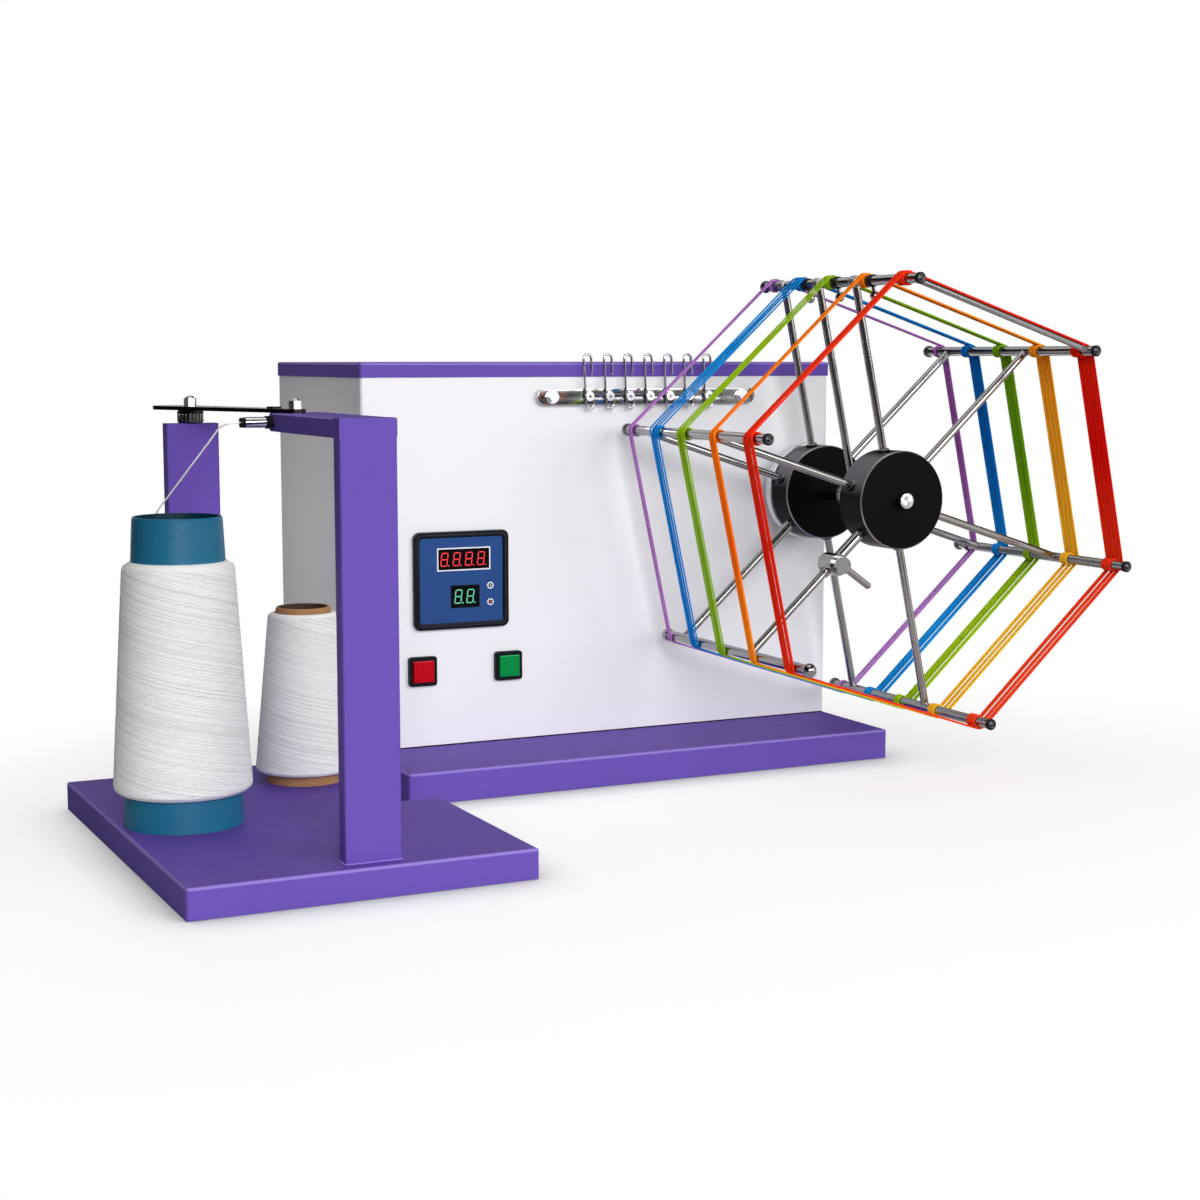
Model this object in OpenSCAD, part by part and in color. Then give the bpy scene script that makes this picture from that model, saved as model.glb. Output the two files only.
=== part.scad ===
// Motor driven wrap reel with a yarn creel
// X runs along the cabinet front, Y points to the back, Z points up.
// The origin is on the floor under the reel's axis, in the plane of the cabinet front.

/* [Cabinet] */
// Length of the cabinet along its front
cabinet_l = 545; // [500:1:620]
// Depth of the cabinet from front to back
cabinet_d = 272; // [255:1:330]
// Height of the cabinet walls between base board and lid
cabinet_h = 377; // [370:1:420]
// Thickness of the folded sheet of the cabinet
sheet = 2; // [1.2:0.1:2.5]
// Outside radius of the folded corners
bend_r = 4; // [3.5:0.5:8]
// Width of the folded flange that the rear panel screws to
flange_w = 16; // [14:1:24]
// Height of the lid
lid_h = 15; // [13:1:30]
// Overhang of the lid past the walls
lid_over = 1; // [0.5:0.1:1.5]
// Distance of the reel's axis from the right side of the cabinet
axis_inset = 46.5; // [45:0.5:80]

/* [Base board] */
// Thickness of the base board
base_h = 31; // [22:1:40]
// Depth of the ledge in front of the cabinet
base_ledge = 124; // [60:1:160]
// Length of the base board past the right side of the cabinet
base_over = 2; // [0:0.5:10]
// Radius of the rounded edges of both boards
board_r = 3; // [1:0.5:6]

/* [Counter] */
// Width of the counter's bezel
counter_w = 104; // [100:1:110]
// Height of the counter's bezel
counter_h = 100; // [98:1:108]
// Width of the bezel's rim
counter_rim = 6; // [4:0.5:7]
// Height of the bezel's rim in front of the cabinet
counter_proud = 6; // [5:0.5:10]
// Distance of the counter's middle from the left side of the cabinet
counter_x = 104.5; // [80:0.5:140]
// Height of the counter's middle above the floor
counter_z = 202; // [190:1:240]
// Depth of the counter's housing behind the cabinet front
counter_depth = 62; // [40:1:90]
// Diameter of the two setting keys
key_d = 7; // [5:0.5:8]
// Travel of a setting key
key_travel = 1; // [0.5:0.1:1.2]

/* [Push buttons] */
// Outside width of a button's square bezel
button_w = 30; // [28:0.5:34]
// Width of the square cap
cap_w = 22; // [18:0.5:22]
// Travel of a cap
cap_travel = 3; // [2:0.1:3.5]
// Distance of the stop button from the left side of the cabinet
stop_x = 61.5; // [50:0.5:75]
// Distance of the start button from the left side of the cabinet
start_x = 156.5; // [140:0.5:190]
// Height of both buttons above the floor
button_z = 110; // [80:1:120]

/* [Yarn guides] */
// Length of the guide bar
rail_l = 258; // [240:1:300]
// Height of the guide bar
rail_h = 16.5; // [14:0.5:20]
// Thickness of the guide bar
rail_t = 4; // [3:0.5:6]
// Length of the spacers behind the guide bar
rail_gap = 4; // [2:0.5:5]
// Distance of the bar's middle from the left side of the cabinet
rail_x = 318; // [300:1:340]
// Distance of the bar's middle below the top of the cabinet's walls
rail_drop = 20.5; // [15:0.5:28]
// Number of pigtail guides
hook_n = 7; // [3:1:7]
// Distance between neighbouring guides
hook_pitch = 23.6; // [18:0.2:26]
// Wire diameter of a guide
wire_d = 2.6; // [2:0.1:3]
// Width of a guide between its wires' middles
hook_w = 8.6; // [8:0.1:11]
// Height of a guide between the middles of its lowest and highest bends
hook_h = 56; // [50:1:70]
// Lean of a guide towards the left, in degrees
hook_lean = 3; // [0:0.5:6]

/* [Creel] */
// Width of the creel board
creel_w = 296; // [280:1:340]
// Depth of the creel board
creel_d = 440; // [420:1:480]
// Thickness of the creel board
creel_h = 26; // [20:1:34]
// Sideways distance from the creel board to the cabinet's left side
creel_side = 1; // [1:1:40]
// Distance from the creel board's front edge to the base board's front edge
creel_ahead = 304.5; // [280:0.5:340]
// Width of the notch in the rear right corner
notch_w = 42; // [20:1:60]
// Depth of that notch
notch_d = 219; // [150:1:240]

/* [Posts] */
// Width of the flat bar of both posts
post_w = 48; // [40:1:56]
// Thickness of that bar
post_t = 16; // [12:0.5:18]
// Radius of the bar's long edges
post_r = 2; // [1:0.5:4]
// Height of the front post's arm above the floor, at its top
arm_top = 381; // [375:1:384]
// Length of the arm, with the post's thickness
arm_l = 184; // [170:1:200]
// Height of the spacer on the rear post
spacer_h = 12; // [8:1:20]
// Diameter of that spacer
spacer_d = 22; // [16:1:30]
// Thickness of the guide plate
plate_t = 3.5; // [2:0.5:5]
// Half width of the guide plate at the rear post
plate_r = 20; // [14:1:24]
// Half width of the guide plate on the arm
tongue_r = 9; // [7:0.5:12]

/* [Yarn packages] */
// Height of the large tube
big_h = 267; // [255:1:270]
// Outside diameter of the large tube at its foot
big_foot = 103; // [96:1:110]
// Outside diameter of the large tube at its nose
big_nose = 77; // [70:1:78]
// Height of the small tube
small_h = 167; // [150:1:190]
// Outside diameter of the small tube at its foot
small_foot = 74; // [66:1:80]
// Outside diameter of the small tube at its nose
small_nose = 52; // [46:1:60]
// Wall of both tubes
tube_wall = 3; // [2:0.5:4]
// Diameter of the pegs that the tubes stand over
peg_d = 16; // [10:1:24]
// Height of these pegs above the board
peg_h = 110; // [60:1:130]
// Diameter of the feed yarn
yarn_d = 1.5; // [1:0.1:2]

/* [Reel] */
// Radius from the reel's axis to the middle of a crossbar
reel_r = 223.4; // [215:0.1:232]
// Height of the reel's axis above the floor
axis_z = 284.5; // [280:0.5:300]
// Turn of the first crossbar past the top, in degrees
reel_turn = 12.15; // [0:0.05:30]
// Diameter of a crossbar
bar_d = 10; // [9:0.5:13]
// Length of a crossbar
bar_l = 282; // [275:1:300]
// Distance of the crossbars' rear ends from the cabinet
bar_back = 26; // [24:1:40]
// Diameter of the spokes
spoke_d = 8; // [6:0.5:8]
// Diameter of both hubs
hub_d = 100; // [90:1:110]
// Distance of the rear hub from the cabinet
rear_hub_y = 46; // [44:1:50]
// Thickness of the rear hub
rear_hub_t = 28; // [24:1:32]
// Distance of the front hub from the cabinet
front_hub_y = 176; // [170:1:180]
// Thickness of the front hub
front_hub_t = 40; // [30:1:42]
// Diameter of the reel shaft
shaft_d = 16; // [12:1:20]
// Length of the shaft's nose in front of the hub
shaft_nose = 9; // [4:1:20]
// Wall of the rubber caps on the crossbars' front ends
cap_wall = 0.6; // [0.5:0.1:2]
// Wall of the round caps on the crossbars' rear ends
rear_cap_wall = 1.6; // [1.4:0.1:2.5]
// Wall of the black collars on the first crossbar
collar_wall = 1.2; // [0.8:0.1:2]
// Width of these collars
collar_w = 10; // [9:0.5:12]

/* [Folding arm] */
// Travel of the folding arm towards the axis
arm_travel = 38; // [20:1:42]
// Outside diameter of the sleeves that guide the arm's rods
sleeve_d = 11; // [10.5:0.1:12]
// Radius from the axis to the clamp
clamp_r = 94; // [92:1:100]
// Diameter of the clamp's boss
clamp_d = 22; // [18:1:24]
// Length of the clamp's lever
lever_l = 38; // [30:1:38]
// Direction of the lever at rest, in degrees
lever_a = -35; // [-60:1:0]

/* [Drive] */
// Diameter of the reel's pulley under the belt
reel_pulley_d = 72; // [60:1:74]
// Diameter of the motor's pulley under the belt
motor_pulley_d = 24; // [20:1:30]
// Distance of the motor's axis from the reel's axis, to the left
motor_x = 120; // [110:1:160]
// Height of the motor's axis above the base board
motor_z = 60; // [50:1:80]
// Width of the drive belt
belt_w = 10; // [8:1:10]
// Thickness of the drive belt
belt_t = 2; // [1.5:0.1:3]

/* [Hanks] */
// Diameter of a wound strand
strand_d = 2.4; // [1.8:0.1:2.5]
// Distance from one turn to the next
strand_pitch = 3.1; // [3:0.1:3.4]

/* [Hidden] */
$fn = 64;

// Clearances
fit = 0.05;
slip = 0.1;
seat_gap = 0.3;
eps = 0.01;
cut = 1;

// Places of the cabinet
cab_x0 = axis_inset - cabinet_l;
cab_x1 = axis_inset;
wall_top = base_h + cabinet_h;
rail_z = wall_top - rail_drop;
counter_cx = cab_x0 + counter_x;
stop_cx = cab_x0 + stop_x;
start_cx = cab_x0 + start_x;
rail_cx = cab_x0 + rail_x;

// Rear panel, its screws, vents and inlet
panel_t = 1.5;
panel_side = 3;
screw_d = 4;
screw_head_d = 8;
screw_head_h = 2.4;
screw_l = 8;
vent_n = 8;
vent_w = 90;
vent_h = 4;
vent_pitch = 11;
vent_gap = 45;
vent_drop = 70;
panel_screw_in = 1;
panel_screw_z = 20;
inlet_w = 30;
inlet_h = 24;
inlet_depth = 22;
inlet_in = 70;
inlet_up = 45;
inlet_x = cab_x0 + inlet_in;
inlet_z = base_h + inlet_up;
inlet_rim = 4;
inlet_wall = 3;
pin = [2, 12, 4];
pin_pitch = 7;
pin_rise = 2;

// Counter
face_t = 3;
face_back = 1;
face_front = face_back + face_t;
face_gap = 0.2;
counter_r = 7;
count_w = 56;
count_h = 21;
count_dx = 2.4;
count_dz = 21.5;
set_w = 30.5;
set_h = 22;
set_dx = 3.8;
set_dz = -17;
window_t = 0.8;
key_dx = 31.5;
key_z = [-7, -24];
key_proud = 1.2;
housing_gap = 0.5;
counter_lip = 3;
key_room = 2;

// Push buttons
button_r = 3;
button_proud = 5;
cap_r = 1;
cap_h = 4;
cap_gap = 0.4;
cap_proud = 3;
well_floor = button_proud + cap_proud - cap_h - cap_travel - seat_gap;
barrel_d = 21.6;
barrel_l = 18;
stem_d = 8;
stem_l = 9;
switch_w = 24;
switch_l = 20;

// Guide bar, bolts and pigtails
bolt_d = 6;
bolt_head = 11.5;
bolt_head_h = 4.5;
washer_d = 14;
washer_t = 1.2;
bolt_in = 16;
groove_h = 5;
groove_t = 1.2;
rail_y = -(rail_gap + rail_t);
wire_y = rail_y - wire_d / 2 - eps;
hook_loop_h = 17.5;
hook_drop = 20;
loop_below = 3.5;
hook_screw_d = 4;
hook_screw_over = 0.6;
hook_screw_head = hook_w + hook_screw_over;
hook_screw_t = 1.6;

// Creel
creel_x1 = cab_x0 - creel_side;
creel_x0 = creel_x1 - creel_w;
creel_y0 = -base_ledge - creel_ahead;
post_in = [157, 14.5];
rear_in = [97.5, 323.5];
post_x = creel_x0 + post_in.x;
post_y = creel_y0 + post_in.y;
rear_x = creel_x0 + rear_in.x;
rear_y = creel_y0 + rear_in.y;
arm_end = post_y + arm_l;
rear_top = arm_top - spacer_h;
plate_top = arm_top + plate_t;
nut_d = 10;
nut_h = 7;
stud_d = 6;
tongue_in = [7.5, 22];
tongue_at = [post_x - tongue_in.x, arm_end - tongue_in.y];
rear_at = [rear_x, rear_y];
plate_tail = 24;
plate_dir = (rear_at - tongue_at) / norm(rear_at - tongue_at);
rivet_from_nut = 30;
rivet_at = tongue_at + rivet_from_nut * plate_dir;
rivet_d = 13;
rivet_h = 1.6;
guide_bore = 6.5;
guide_od = 9.5;
guide_l = 24;
ring_od = 11;
ring_w = 6;
mouth_od = 8.5;
mouth_bore = 4.5;
mouth_l = 4;
guide_in = 8;
guide_y = arm_end - guide_in;
guide_z = arm_top - post_t / 2;
guide_face = post_x - post_w / 2;

// Yarn packages
big_in = [57.5, 223.5];
small_in = [209.5, 352.5];
big_at = [creel_x0, creel_y0] + big_in;
small_at = [creel_x0, creel_y0] + small_in;
big_bare = [28, 38];
big_yarn = [59.5, 47];
small_bare = [10, 5];
small_yarn = [47, 32.5];
shoulder = 8;
small_shoulder = 4;
nose_ease = [1, 2];

// Route of the feed yarn: points off the package and over the nose, from the nose's middle, then shares of
// the way from there into the guide tube
nose_at = [big_at.x, big_at.y, creel_h + big_h];
feed_end = [guide_face - guide_l, guide_y, guide_z];
feed_start = [[-9, 46, -43], [-9, 44, -27], [-8, 41, -13], [-8, 40, -2], [-7, 35, 4]];
feed_share = [[0.081, 0.104, 0.114], [0.175, 0.226, 0.246], [0.283, 0.365, 0.398], [0.39, 0.505, 0.549],
    [0.498, 0.644, 0.701], [0.592, 0.766, 0.833], [0.673, 0.87, 0.947], [0.766, 0.971, 0.987],
    [0.879, 1, 1], [1, 1, 1]];
feed_route = let (lip = nose_at + feed_start[len(feed_start) - 1]) concat([for (p = feed_start) nose_at + p],
    [for (f = feed_share) [for (i = [0 : 2]) lip[i] + (feed_end[i] - lip[i]) * f[i]]]);
feed_sides = 8;
feed_steps = 4;

// Reel
bar_n = 6;
fold_bar = 4;
fixed_bars = [0, 1, 2, 3, 5];
bar_end = bar_back + bar_l;
rear_plane = -(rear_hub_y + rear_hub_t / 2);
front_plane = -(front_hub_y + front_hub_t / 2);
spoke_planes = [rear_plane, front_plane];
stay_plane = (rear_plane + front_plane) / 2;
spoke_seat = 1;
hub_seat = 22;
hub_r = hub_d / 2;
hub_edge = 1.2;
spoke_tip = reel_r - spoke_seat;
cap_d = bar_d + 2 * cap_wall;
rear_cap_d = bar_d + 2 * rear_cap_wall;
collar_d = bar_d + 2 * collar_wall;
cap_over = 2;
cap_end = 1.5;
tie_d = 6;
tie_in = 11;
tie_seat = 2;
tie_span = 2 * reel_r * sin(180 / bar_n);
tie_angle = (bar_angle(0) + bar_angle(1)) / 2 - 90;
stay_wall = 9;
stay_collar_d = shaft_d + 2 * stay_wall;
stay_collar_w = 18;
stay_seat = 5;
stud_y = 12;
stud_ball = 9.5;
stud_shank = 4;
stud_drop = 15;
stud_collar_w = 6;
stud_seat = 2;
stud_tip = reel_r - stud_seat;

// Bearings and their housing
flange_d = 104;
hub_gap = 3;
flange_y0 = rear_hub_y - hub_gap;
flange_t = 9;
neck_d = 70;
tail_d = 56;
tail_l = 70;
bearing_ring = 10;
bearing_od = shaft_d + 2 * bearing_ring;
bearing_w = 12;
nut_od = 76;
nut_w = 8;
pulley_y = 100;
pulley_side = 3;
pulley_w = belt_w + 2 * pulley_side;
pulley_flange = 3;
pulley_rim_t = 2;
shaft_tail = 6;
shaft_in = pulley_y + pulley_w + shaft_tail;
bore_room = 3;
centre_r = 2;

// Motor, bracket, belt and sensor
motor_cx = -motor_x;
motor_cz = base_h + motor_z;
bracket_t = 4;
bracket_gap = 2;
bracket_y = pulley_y + pulley_w + bracket_gap;
shaft_room = 4;
bracket_w = 80;
bracket_foot = 70;
gearbox_w = 66;
gearbox_l = 38;
motor_d = 58;
motor_l = 80;
motor_shaft_d = 10;
motor_shaft_in = 20;
belt_gap = 0.3;
belt_y = pulley_y + (pulley_w - belt_w) / 2;
sensor_d = 12;
sensor_l = 34;
sensor_in = 9;
sensor_r = reel_pulley_d / 2 - sensor_in;
sensor_gap = 2;
sensor_plate = 3;
sensor_block_l = 12;
sensor_drop = 26;

// Folding arm and its clamp
sleeve_bore = spoke_d + 2 * slip;
sleeve_seat = 10;
sleeve_past = [-4, 14];
sleeve_in = hub_r - sleeve_seat;
sleeve_out = [clamp_r, clamp_r] + sleeve_past;
rod_past = 16;
rod_gap = 3;
rod_in = hub_r + rod_past;
rod_stop = rod_in - arm_travel - rod_gap;
clamp_back = 10;
clamp_front = 13;
screw_bore = 6;
lever_d = 7;
lever_hub_d = 17;
lever_hub_l = 8;
lever_gap = 0.3;
ball_d = 14;

// Hanks: distance of each from the cabinet and its number of turns
hank_y = [41, 95, 151, 214, 282];
hank_turns = [2, 4, 4, 4, 6];
studded = [1, 2, 3];
turn_r = bar_d / 2 + seat_gap + strand_d / 2;
rings_per_turn = 24;
strand_sides = 6;

// Direction of crossbar k seen from the front, in degrees
function bar_angle(k) = 90 + reel_turn - 360 / bar_n * k;

// Girth that one turn of yarn is wound to, at the bars' surface
echo(girth = bar_n * reel_r + PI * bar_d);

// Rounded rectangle from the origin corner
module rounded_plan(l, d, r) {
    translate([r, 0]) square([l - 2 * r, d]);
    translate([0, r]) square([l, d - 2 * r]);
    for (x = [r, l - r], y = [r, d - r]) translate([x, y]) circle(r);
}

// Rectangle with rounded upper corners
module eased_profile(w, h, r) {
    square([w, h - r]);
    translate([r, 0]) square([w - 2 * r, h]);
    for (x = [r, w - r]) translate([x, h - r]) circle(r);
}

// Board with rounded upright and upper edges
module eased_board(l, d, h, r) {
    intersection() {
        linear_extrude(h) rounded_plan(l, d, r);
        translate([0, d, 0]) rotate([90, 0, 0]) linear_extrude(d) eased_profile(l, h, r);
        rotate([90, 0, 90]) linear_extrude(l) eased_profile(d, h, r);
    }
}

// Outline of a strap round two circles
module strap(a, ra, b, rb) {
    gap = norm(b - a);
    along = atan2(b.y - a.y, b.x - a.x);
    open = acos((ra - rb) / gap);
    up = [cos(along + open), sin(along + open)];
    down = [cos(along - open), sin(along - open)];
    translate(a) circle(ra);
    translate(b) circle(rb);
    polygon([a + ra * up, a + ra * down, b + rb * down, b + rb * up]);
}

// Cylinder that runs from y0 towards the front
module forward(y0, l, d) {
    translate([0, y0, 0]) rotate([90, 0, 0]) cylinder(d = d, h = l);
}

// Cylinder that runs from y0 towards the back
module backward(y0, l, d) {
    translate([0, y0, 0]) rotate([-90, 0, 0]) cylinder(d = d, h = l);
}

// Places a child on the reel's axis
module on_axis() {
    translate([0, 0, axis_z]) children();
}

// Places a child on crossbar k
module at_bar(k) {
    on_axis() translate([reel_r * cos(bar_angle(k)), 0, reel_r * sin(bar_angle(k))]) children();
}

// Turns a child's Z along spoke k, from the axis outwards, in the plane y
module on_spoke(k, y) {
    on_axis() translate([0, y, 0]) rotate([0, 90 - bar_angle(k), 0]) children();
}

// Radial cylinder from radius a to radius b
module radial(a, b, d) {
    translate([0, 0, a]) cylinder(d = d, h = b - a);
}

// Cabinet

module base_board() color([0.37, 0.29, 0.64]) {
    translate([cab_x0, -base_ledge, 0])
        eased_board(cabinet_l + base_over, base_ledge + cabinet_d, base_h, board_r);
}

module shell_plan() {
    difference() {
        rounded_plan(cabinet_l, cabinet_d, bend_r);
        translate([sheet, sheet])
            rounded_plan(cabinet_l - 2 * sheet, cabinet_d - 2 * sheet, bend_r - sheet);
        translate([flange_w, cabinet_d / 2]) square([cabinet_l - 2 * flange_w, cabinet_d]);
    }
}

module cabinet_shell() color([0.92, 0.92, 0.95]) {
    difference() {
        translate([cab_x0, 0, base_h]) linear_extrude(cabinet_h) shell_plan();
        on_axis() backward(-cut, sheet + 2 * cut, tail_d + 2 * slip);
        translate([counter_cx, 0, counter_z]) housing_block(-cut, sheet + 2 * cut, housing_gap);
        for (x = [stop_cx, start_cx])
            translate([x, 0, button_z]) backward(-cut, sheet + 2 * cut, barrel_d + 2 * slip);
        for (x = bolt_places())
            translate([x, 0, rail_z]) backward(-cut, sheet + 2 * cut, bolt_d + 2 * slip);
        for (p = rear_screw_places())
            translate(p) backward(cabinet_d - sheet - cut, sheet + 2 * cut, screw_d + 2 * slip);
    }
}

module cabinet_lid() color([0.37, 0.29, 0.64]) {
    over = [cab_x0 - lid_over, -lid_over, wall_top];
    outer = [cabinet_l + 2 * lid_over, cabinet_d + 2 * lid_over];
    lip = sheet + seat_gap;
    lip_drop = 8;
    translate(over) difference() {
        eased_board(outer.x, outer.y, lid_h, board_r);
        skin = lid_over + sheet * 0.75;
        translate([skin, skin, -cut])
            cube([outer.x - 2 * skin, outer.y - 2 * skin, lid_h - sheet + cut]);
    }
    // Lip that keeps the lid in place inside the walls
    inner = [cabinet_l - 2 * lip, cabinet_d - 2 * lip];
    translate([cab_x0 + lip, lip, wall_top - lip_drop]) difference() {
        linear_extrude(lip_drop + lid_h - sheet / 2) rounded_plan(inner.x, inner.y, bend_r - sheet);
        translate([sheet, sheet, -cut])
            cube([inner.x - 2 * sheet, inner.y - 2 * sheet, lip_drop + lid_h + 2 * cut]);
    }
}

function rear_screw_places() = let (inset = flange_w / 2 + panel_screw_in)
    [for (x = [cab_x0 + inset, cab_x1 - inset],
        z = [base_h + panel_screw_z, base_h + cabinet_h / 2, wall_top - panel_screw_z]) [x, 0, z]];

module rear_panel() color([0.86, 0.86, 0.89]) {
    difference() {
        translate([cab_x0 + panel_side, cabinet_d, base_h + panel_side])
            cube([cabinet_l - 2 * panel_side, panel_t, cabinet_h - 2 * panel_side]);
        for (p = rear_screw_places())
            translate(p) backward(cabinet_d - cut, panel_t + 2 * cut, screw_d + 2 * slip);
        for (side = [-1, 1], i = [0 : vent_n - 1])
            translate([(cab_x0 + cab_x1) / 2 + side * (vent_w + vent_gap) / 2 - vent_w / 2,
                cabinet_d - cut, wall_top - vent_drop - i * vent_pitch])
                cube([vent_w, panel_t + 2 * cut, vent_h]);
        translate([inlet_x - inlet_w / 2 - slip, cabinet_d - cut, inlet_z - inlet_h / 2 - slip])
            cube([inlet_w + 2 * slip, panel_t + 2 * cut, inlet_h + 2 * slip]);
    }
}

module rear_screws() color([0.7, 0.7, 0.72]) {
    for (p = rear_screw_places()) translate(p) {
        backward(cabinet_d + panel_t, screw_head_h, screw_head_d);
        backward(cabinet_d + panel_t - screw_l, screw_l, screw_d);
    }
}

// Three pin mains inlet, seen from behind, with its shroud open to the back
module power_inlet() color([0.08, 0.08, 0.09]) {
    back = cabinet_d + panel_t;
    wall = inlet_wall;
    mouth = [inlet_w - 2 * wall, inlet_h - 2 * wall];
    translate([inlet_x, 0, inlet_z]) {
        difference() {
            union() {
                translate([-inlet_w / 2, back - inlet_depth, -inlet_h / 2])
                    cube([inlet_w, inlet_depth, inlet_h]);
                translate([-inlet_w / 2 - inlet_rim, back, -inlet_h / 2 - inlet_rim])
                    cube([inlet_w + 2 * inlet_rim, wall, inlet_h + 2 * inlet_rim]);
            }
            translate([-mouth.x / 2, back - inlet_depth + wall, -mouth.y / 2])
                cube([mouth.x, inlet_depth + cut, mouth.y]);
        }
        for (p = [[-pin_pitch, -pin_rise], [0, pin_rise], [pin_pitch, -pin_rise]])
            translate([p.x - pin.x / 2, back - inlet_depth + wall - eps, p.y - pin.z / 2])
                cube([pin.x, pin.y, pin.z]);
    }
}

// Counter

module counter_frame(l, inset, r) {
    rotate([90, 0, 0]) linear_extrude(l) difference() {
        translate([-counter_w / 2, -counter_h / 2]) rounded_plan(counter_w, counter_h, counter_r);
        translate([-counter_w / 2 + inset, -counter_h / 2 + inset])
            rounded_plan(counter_w - 2 * inset, counter_h - 2 * inset, r);
    }
}

module counter_bezel() color([0.05, 0.05, 0.06]) {
    translate([counter_cx, 0, counter_z]) {
        counter_frame(counter_proud, counter_rim, counter_r - counter_rim / 2);
        counter_frame(face_back, counter_rim + counter_lip, housing_gap);
    }
}

module counter_face() color([0.09, 0.2, 0.45]) {
    inset = counter_rim + face_gap;
    translate([counter_cx, -face_back, counter_z]) difference() {
        rotate([90, 0, 0]) linear_extrude(face_t)
            translate([-counter_w / 2 + inset, -counter_h / 2 + inset])
                rounded_plan(counter_w - 2 * inset, counter_h - 2 * inset, counter_r - inset / 2);
        for (z = key_z) translate([key_dx, 0, z]) forward(cut, face_t + 2 * cut, key_d + 2 * slip);
    }
}

module window_block(w, h) {
    translate([-w / 2, -face_front - window_t, -h / 2]) cube([w, window_t, h]);
}

module display_windows() color([0.12, 0.02, 0.03]) {
    translate([counter_cx, 0, counter_z]) {
        translate([count_dx, 0, count_dz]) window_block(count_w, count_h);
        translate([set_dx, 0, set_dz]) window_block(set_w, set_h);
    }
}

module housing_block(y0, l, grow) {
    inset = counter_rim + counter_lip + housing_gap - grow;
    translate([-counter_w / 2 + inset, y0, -counter_h / 2 + inset])
        cube([counter_w - 2 * inset, l, counter_h - 2 * inset]);
}

module counter_housing() color([0.1, 0.1, 0.11]) {
    well = key_travel + key_room;
    translate([counter_cx, 0, counter_z]) difference() {
        housing_block(-face_back, counter_depth + face_back, 0);
        for (z = key_z)
            translate([key_dx, 0, z]) backward(-face_back - cut, well + cut, key_d + 4 * slip);
    }
}

module setting_key(z) {
    translate([counter_cx + key_dx, 0, counter_z + z])
        forward(-face_back, face_t + key_proud, key_d);
}

module key_up() color([0.85, 0.85, 0.88]) setting_key(key_z[0]);

module key_down() color([0.85, 0.4, 0.25]) setting_key(key_z[1]);

// Push buttons

module button_bezel() {
    well = cap_w + 2 * cap_gap;
    difference() {
        union() {
            rotate([90, 0, 0]) linear_extrude(button_proud)
                translate([-button_w / 2, -button_w / 2]) rounded_plan(button_w, button_w, button_r);
            backward(-eps, barrel_l + eps, barrel_d);
        }
        rotate([90, 0, 0]) translate([-well / 2, -well / 2, well_floor])
            linear_extrude(button_proud) rounded_plan(well, well, cap_r + cap_gap);
        forward(barrel_l + cut, barrel_l + button_proud + 2 * cut, stem_d + 2 * slip);
    }
}

module button_bezels() color([0.06, 0.06, 0.07]) {
    for (x = [stop_cx, start_cx]) translate([x, 0, button_z]) button_bezel();
}

module switch_bodies() color([0.75, 0.75, 0.72]) {
    for (x = [stop_cx, start_cx])
        translate([x - switch_w / 2, barrel_l, button_z - switch_w / 2])
            cube([switch_w, switch_l, switch_w]);
}

module button_cap() {
    front = button_proud + cap_proud;
    rotate([90, 0, 0]) translate([-cap_w / 2, -cap_w / 2, front - cap_h])
        eased_board(cap_w, cap_w, cap_h, cap_r);
    backward(cap_h - front - eps, stem_l, stem_d);
}

module stop_button() color([0.8, 0.05, 0.08]) translate([stop_cx, 0, button_z]) button_cap();

module start_button() color([0.02, 0.45, 0.2]) translate([start_cx, 0, button_z]) button_cap();

// Yarn guides

function bolt_places() = [for (side = [-1, 1]) rail_cx + side * (rail_l / 2 - rail_h)];

function hook_places() = [for (i = [0 : hook_n - 1]) rail_cx + (i - (hook_n - 1) / 2) * hook_pitch];

module guide_bar() color([0.72, 0.73, 0.75]) {
    half = rail_l / 2 - rail_h / 2;
    groove = (hook_n - 1) * hook_pitch / 2 + hook_w;
    translate([rail_cx, 0, rail_z]) difference() {
        translate([0, -rail_gap, 0]) rotate([90, 0, 0]) linear_extrude(rail_t) {
            translate([-half, -rail_h / 2]) square([2 * half, rail_h]);
            for (x = [-half, half]) translate([x, 0]) circle(d = rail_h);
        }
        translate([-groove, rail_y - cut, -groove_h / 2]) cube([2 * groove, groove_t + cut, groove_h]);
        for (x = bolt_places())
            translate([x - rail_cx, 0, 0]) forward(0, rail_gap + rail_t + cut, bolt_d + 2 * slip);
    }
}

// Hexagon bolt with its washer in front and its spacer behind the guide bar
module guide_bolt() {
    forward(bolt_in, bolt_in - rail_y + washer_t, bolt_d);
    forward(rail_y, washer_t, washer_d);
    translate([0, rail_y - washer_t, 0]) rotate([90, 0, 0])
        cylinder(d = bolt_head, h = bolt_head_h, $fn = 6);
    difference() {
        forward(0, rail_gap, washer_d);
        forward(cut, rail_gap + 2 * cut, bolt_d + 2 * slip);
    }
}

// Screw that clamps a pigtail guide into the bar's groove
module guide_screw() {
    forward(rail_y + groove_t, groove_t + wire_d + 3 * eps, hook_screw_d);
    forward(rail_y - wire_d - 2 * eps, hook_screw_t, hook_screw_head);
}

module guide_fasteners() color([0.58, 0.59, 0.61]) {
    for (x = bolt_places()) translate([x, 0, rail_z]) guide_bolt();
    for (x = hook_places()) translate([x, 0, rail_z]) guide_screw();
}

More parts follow.
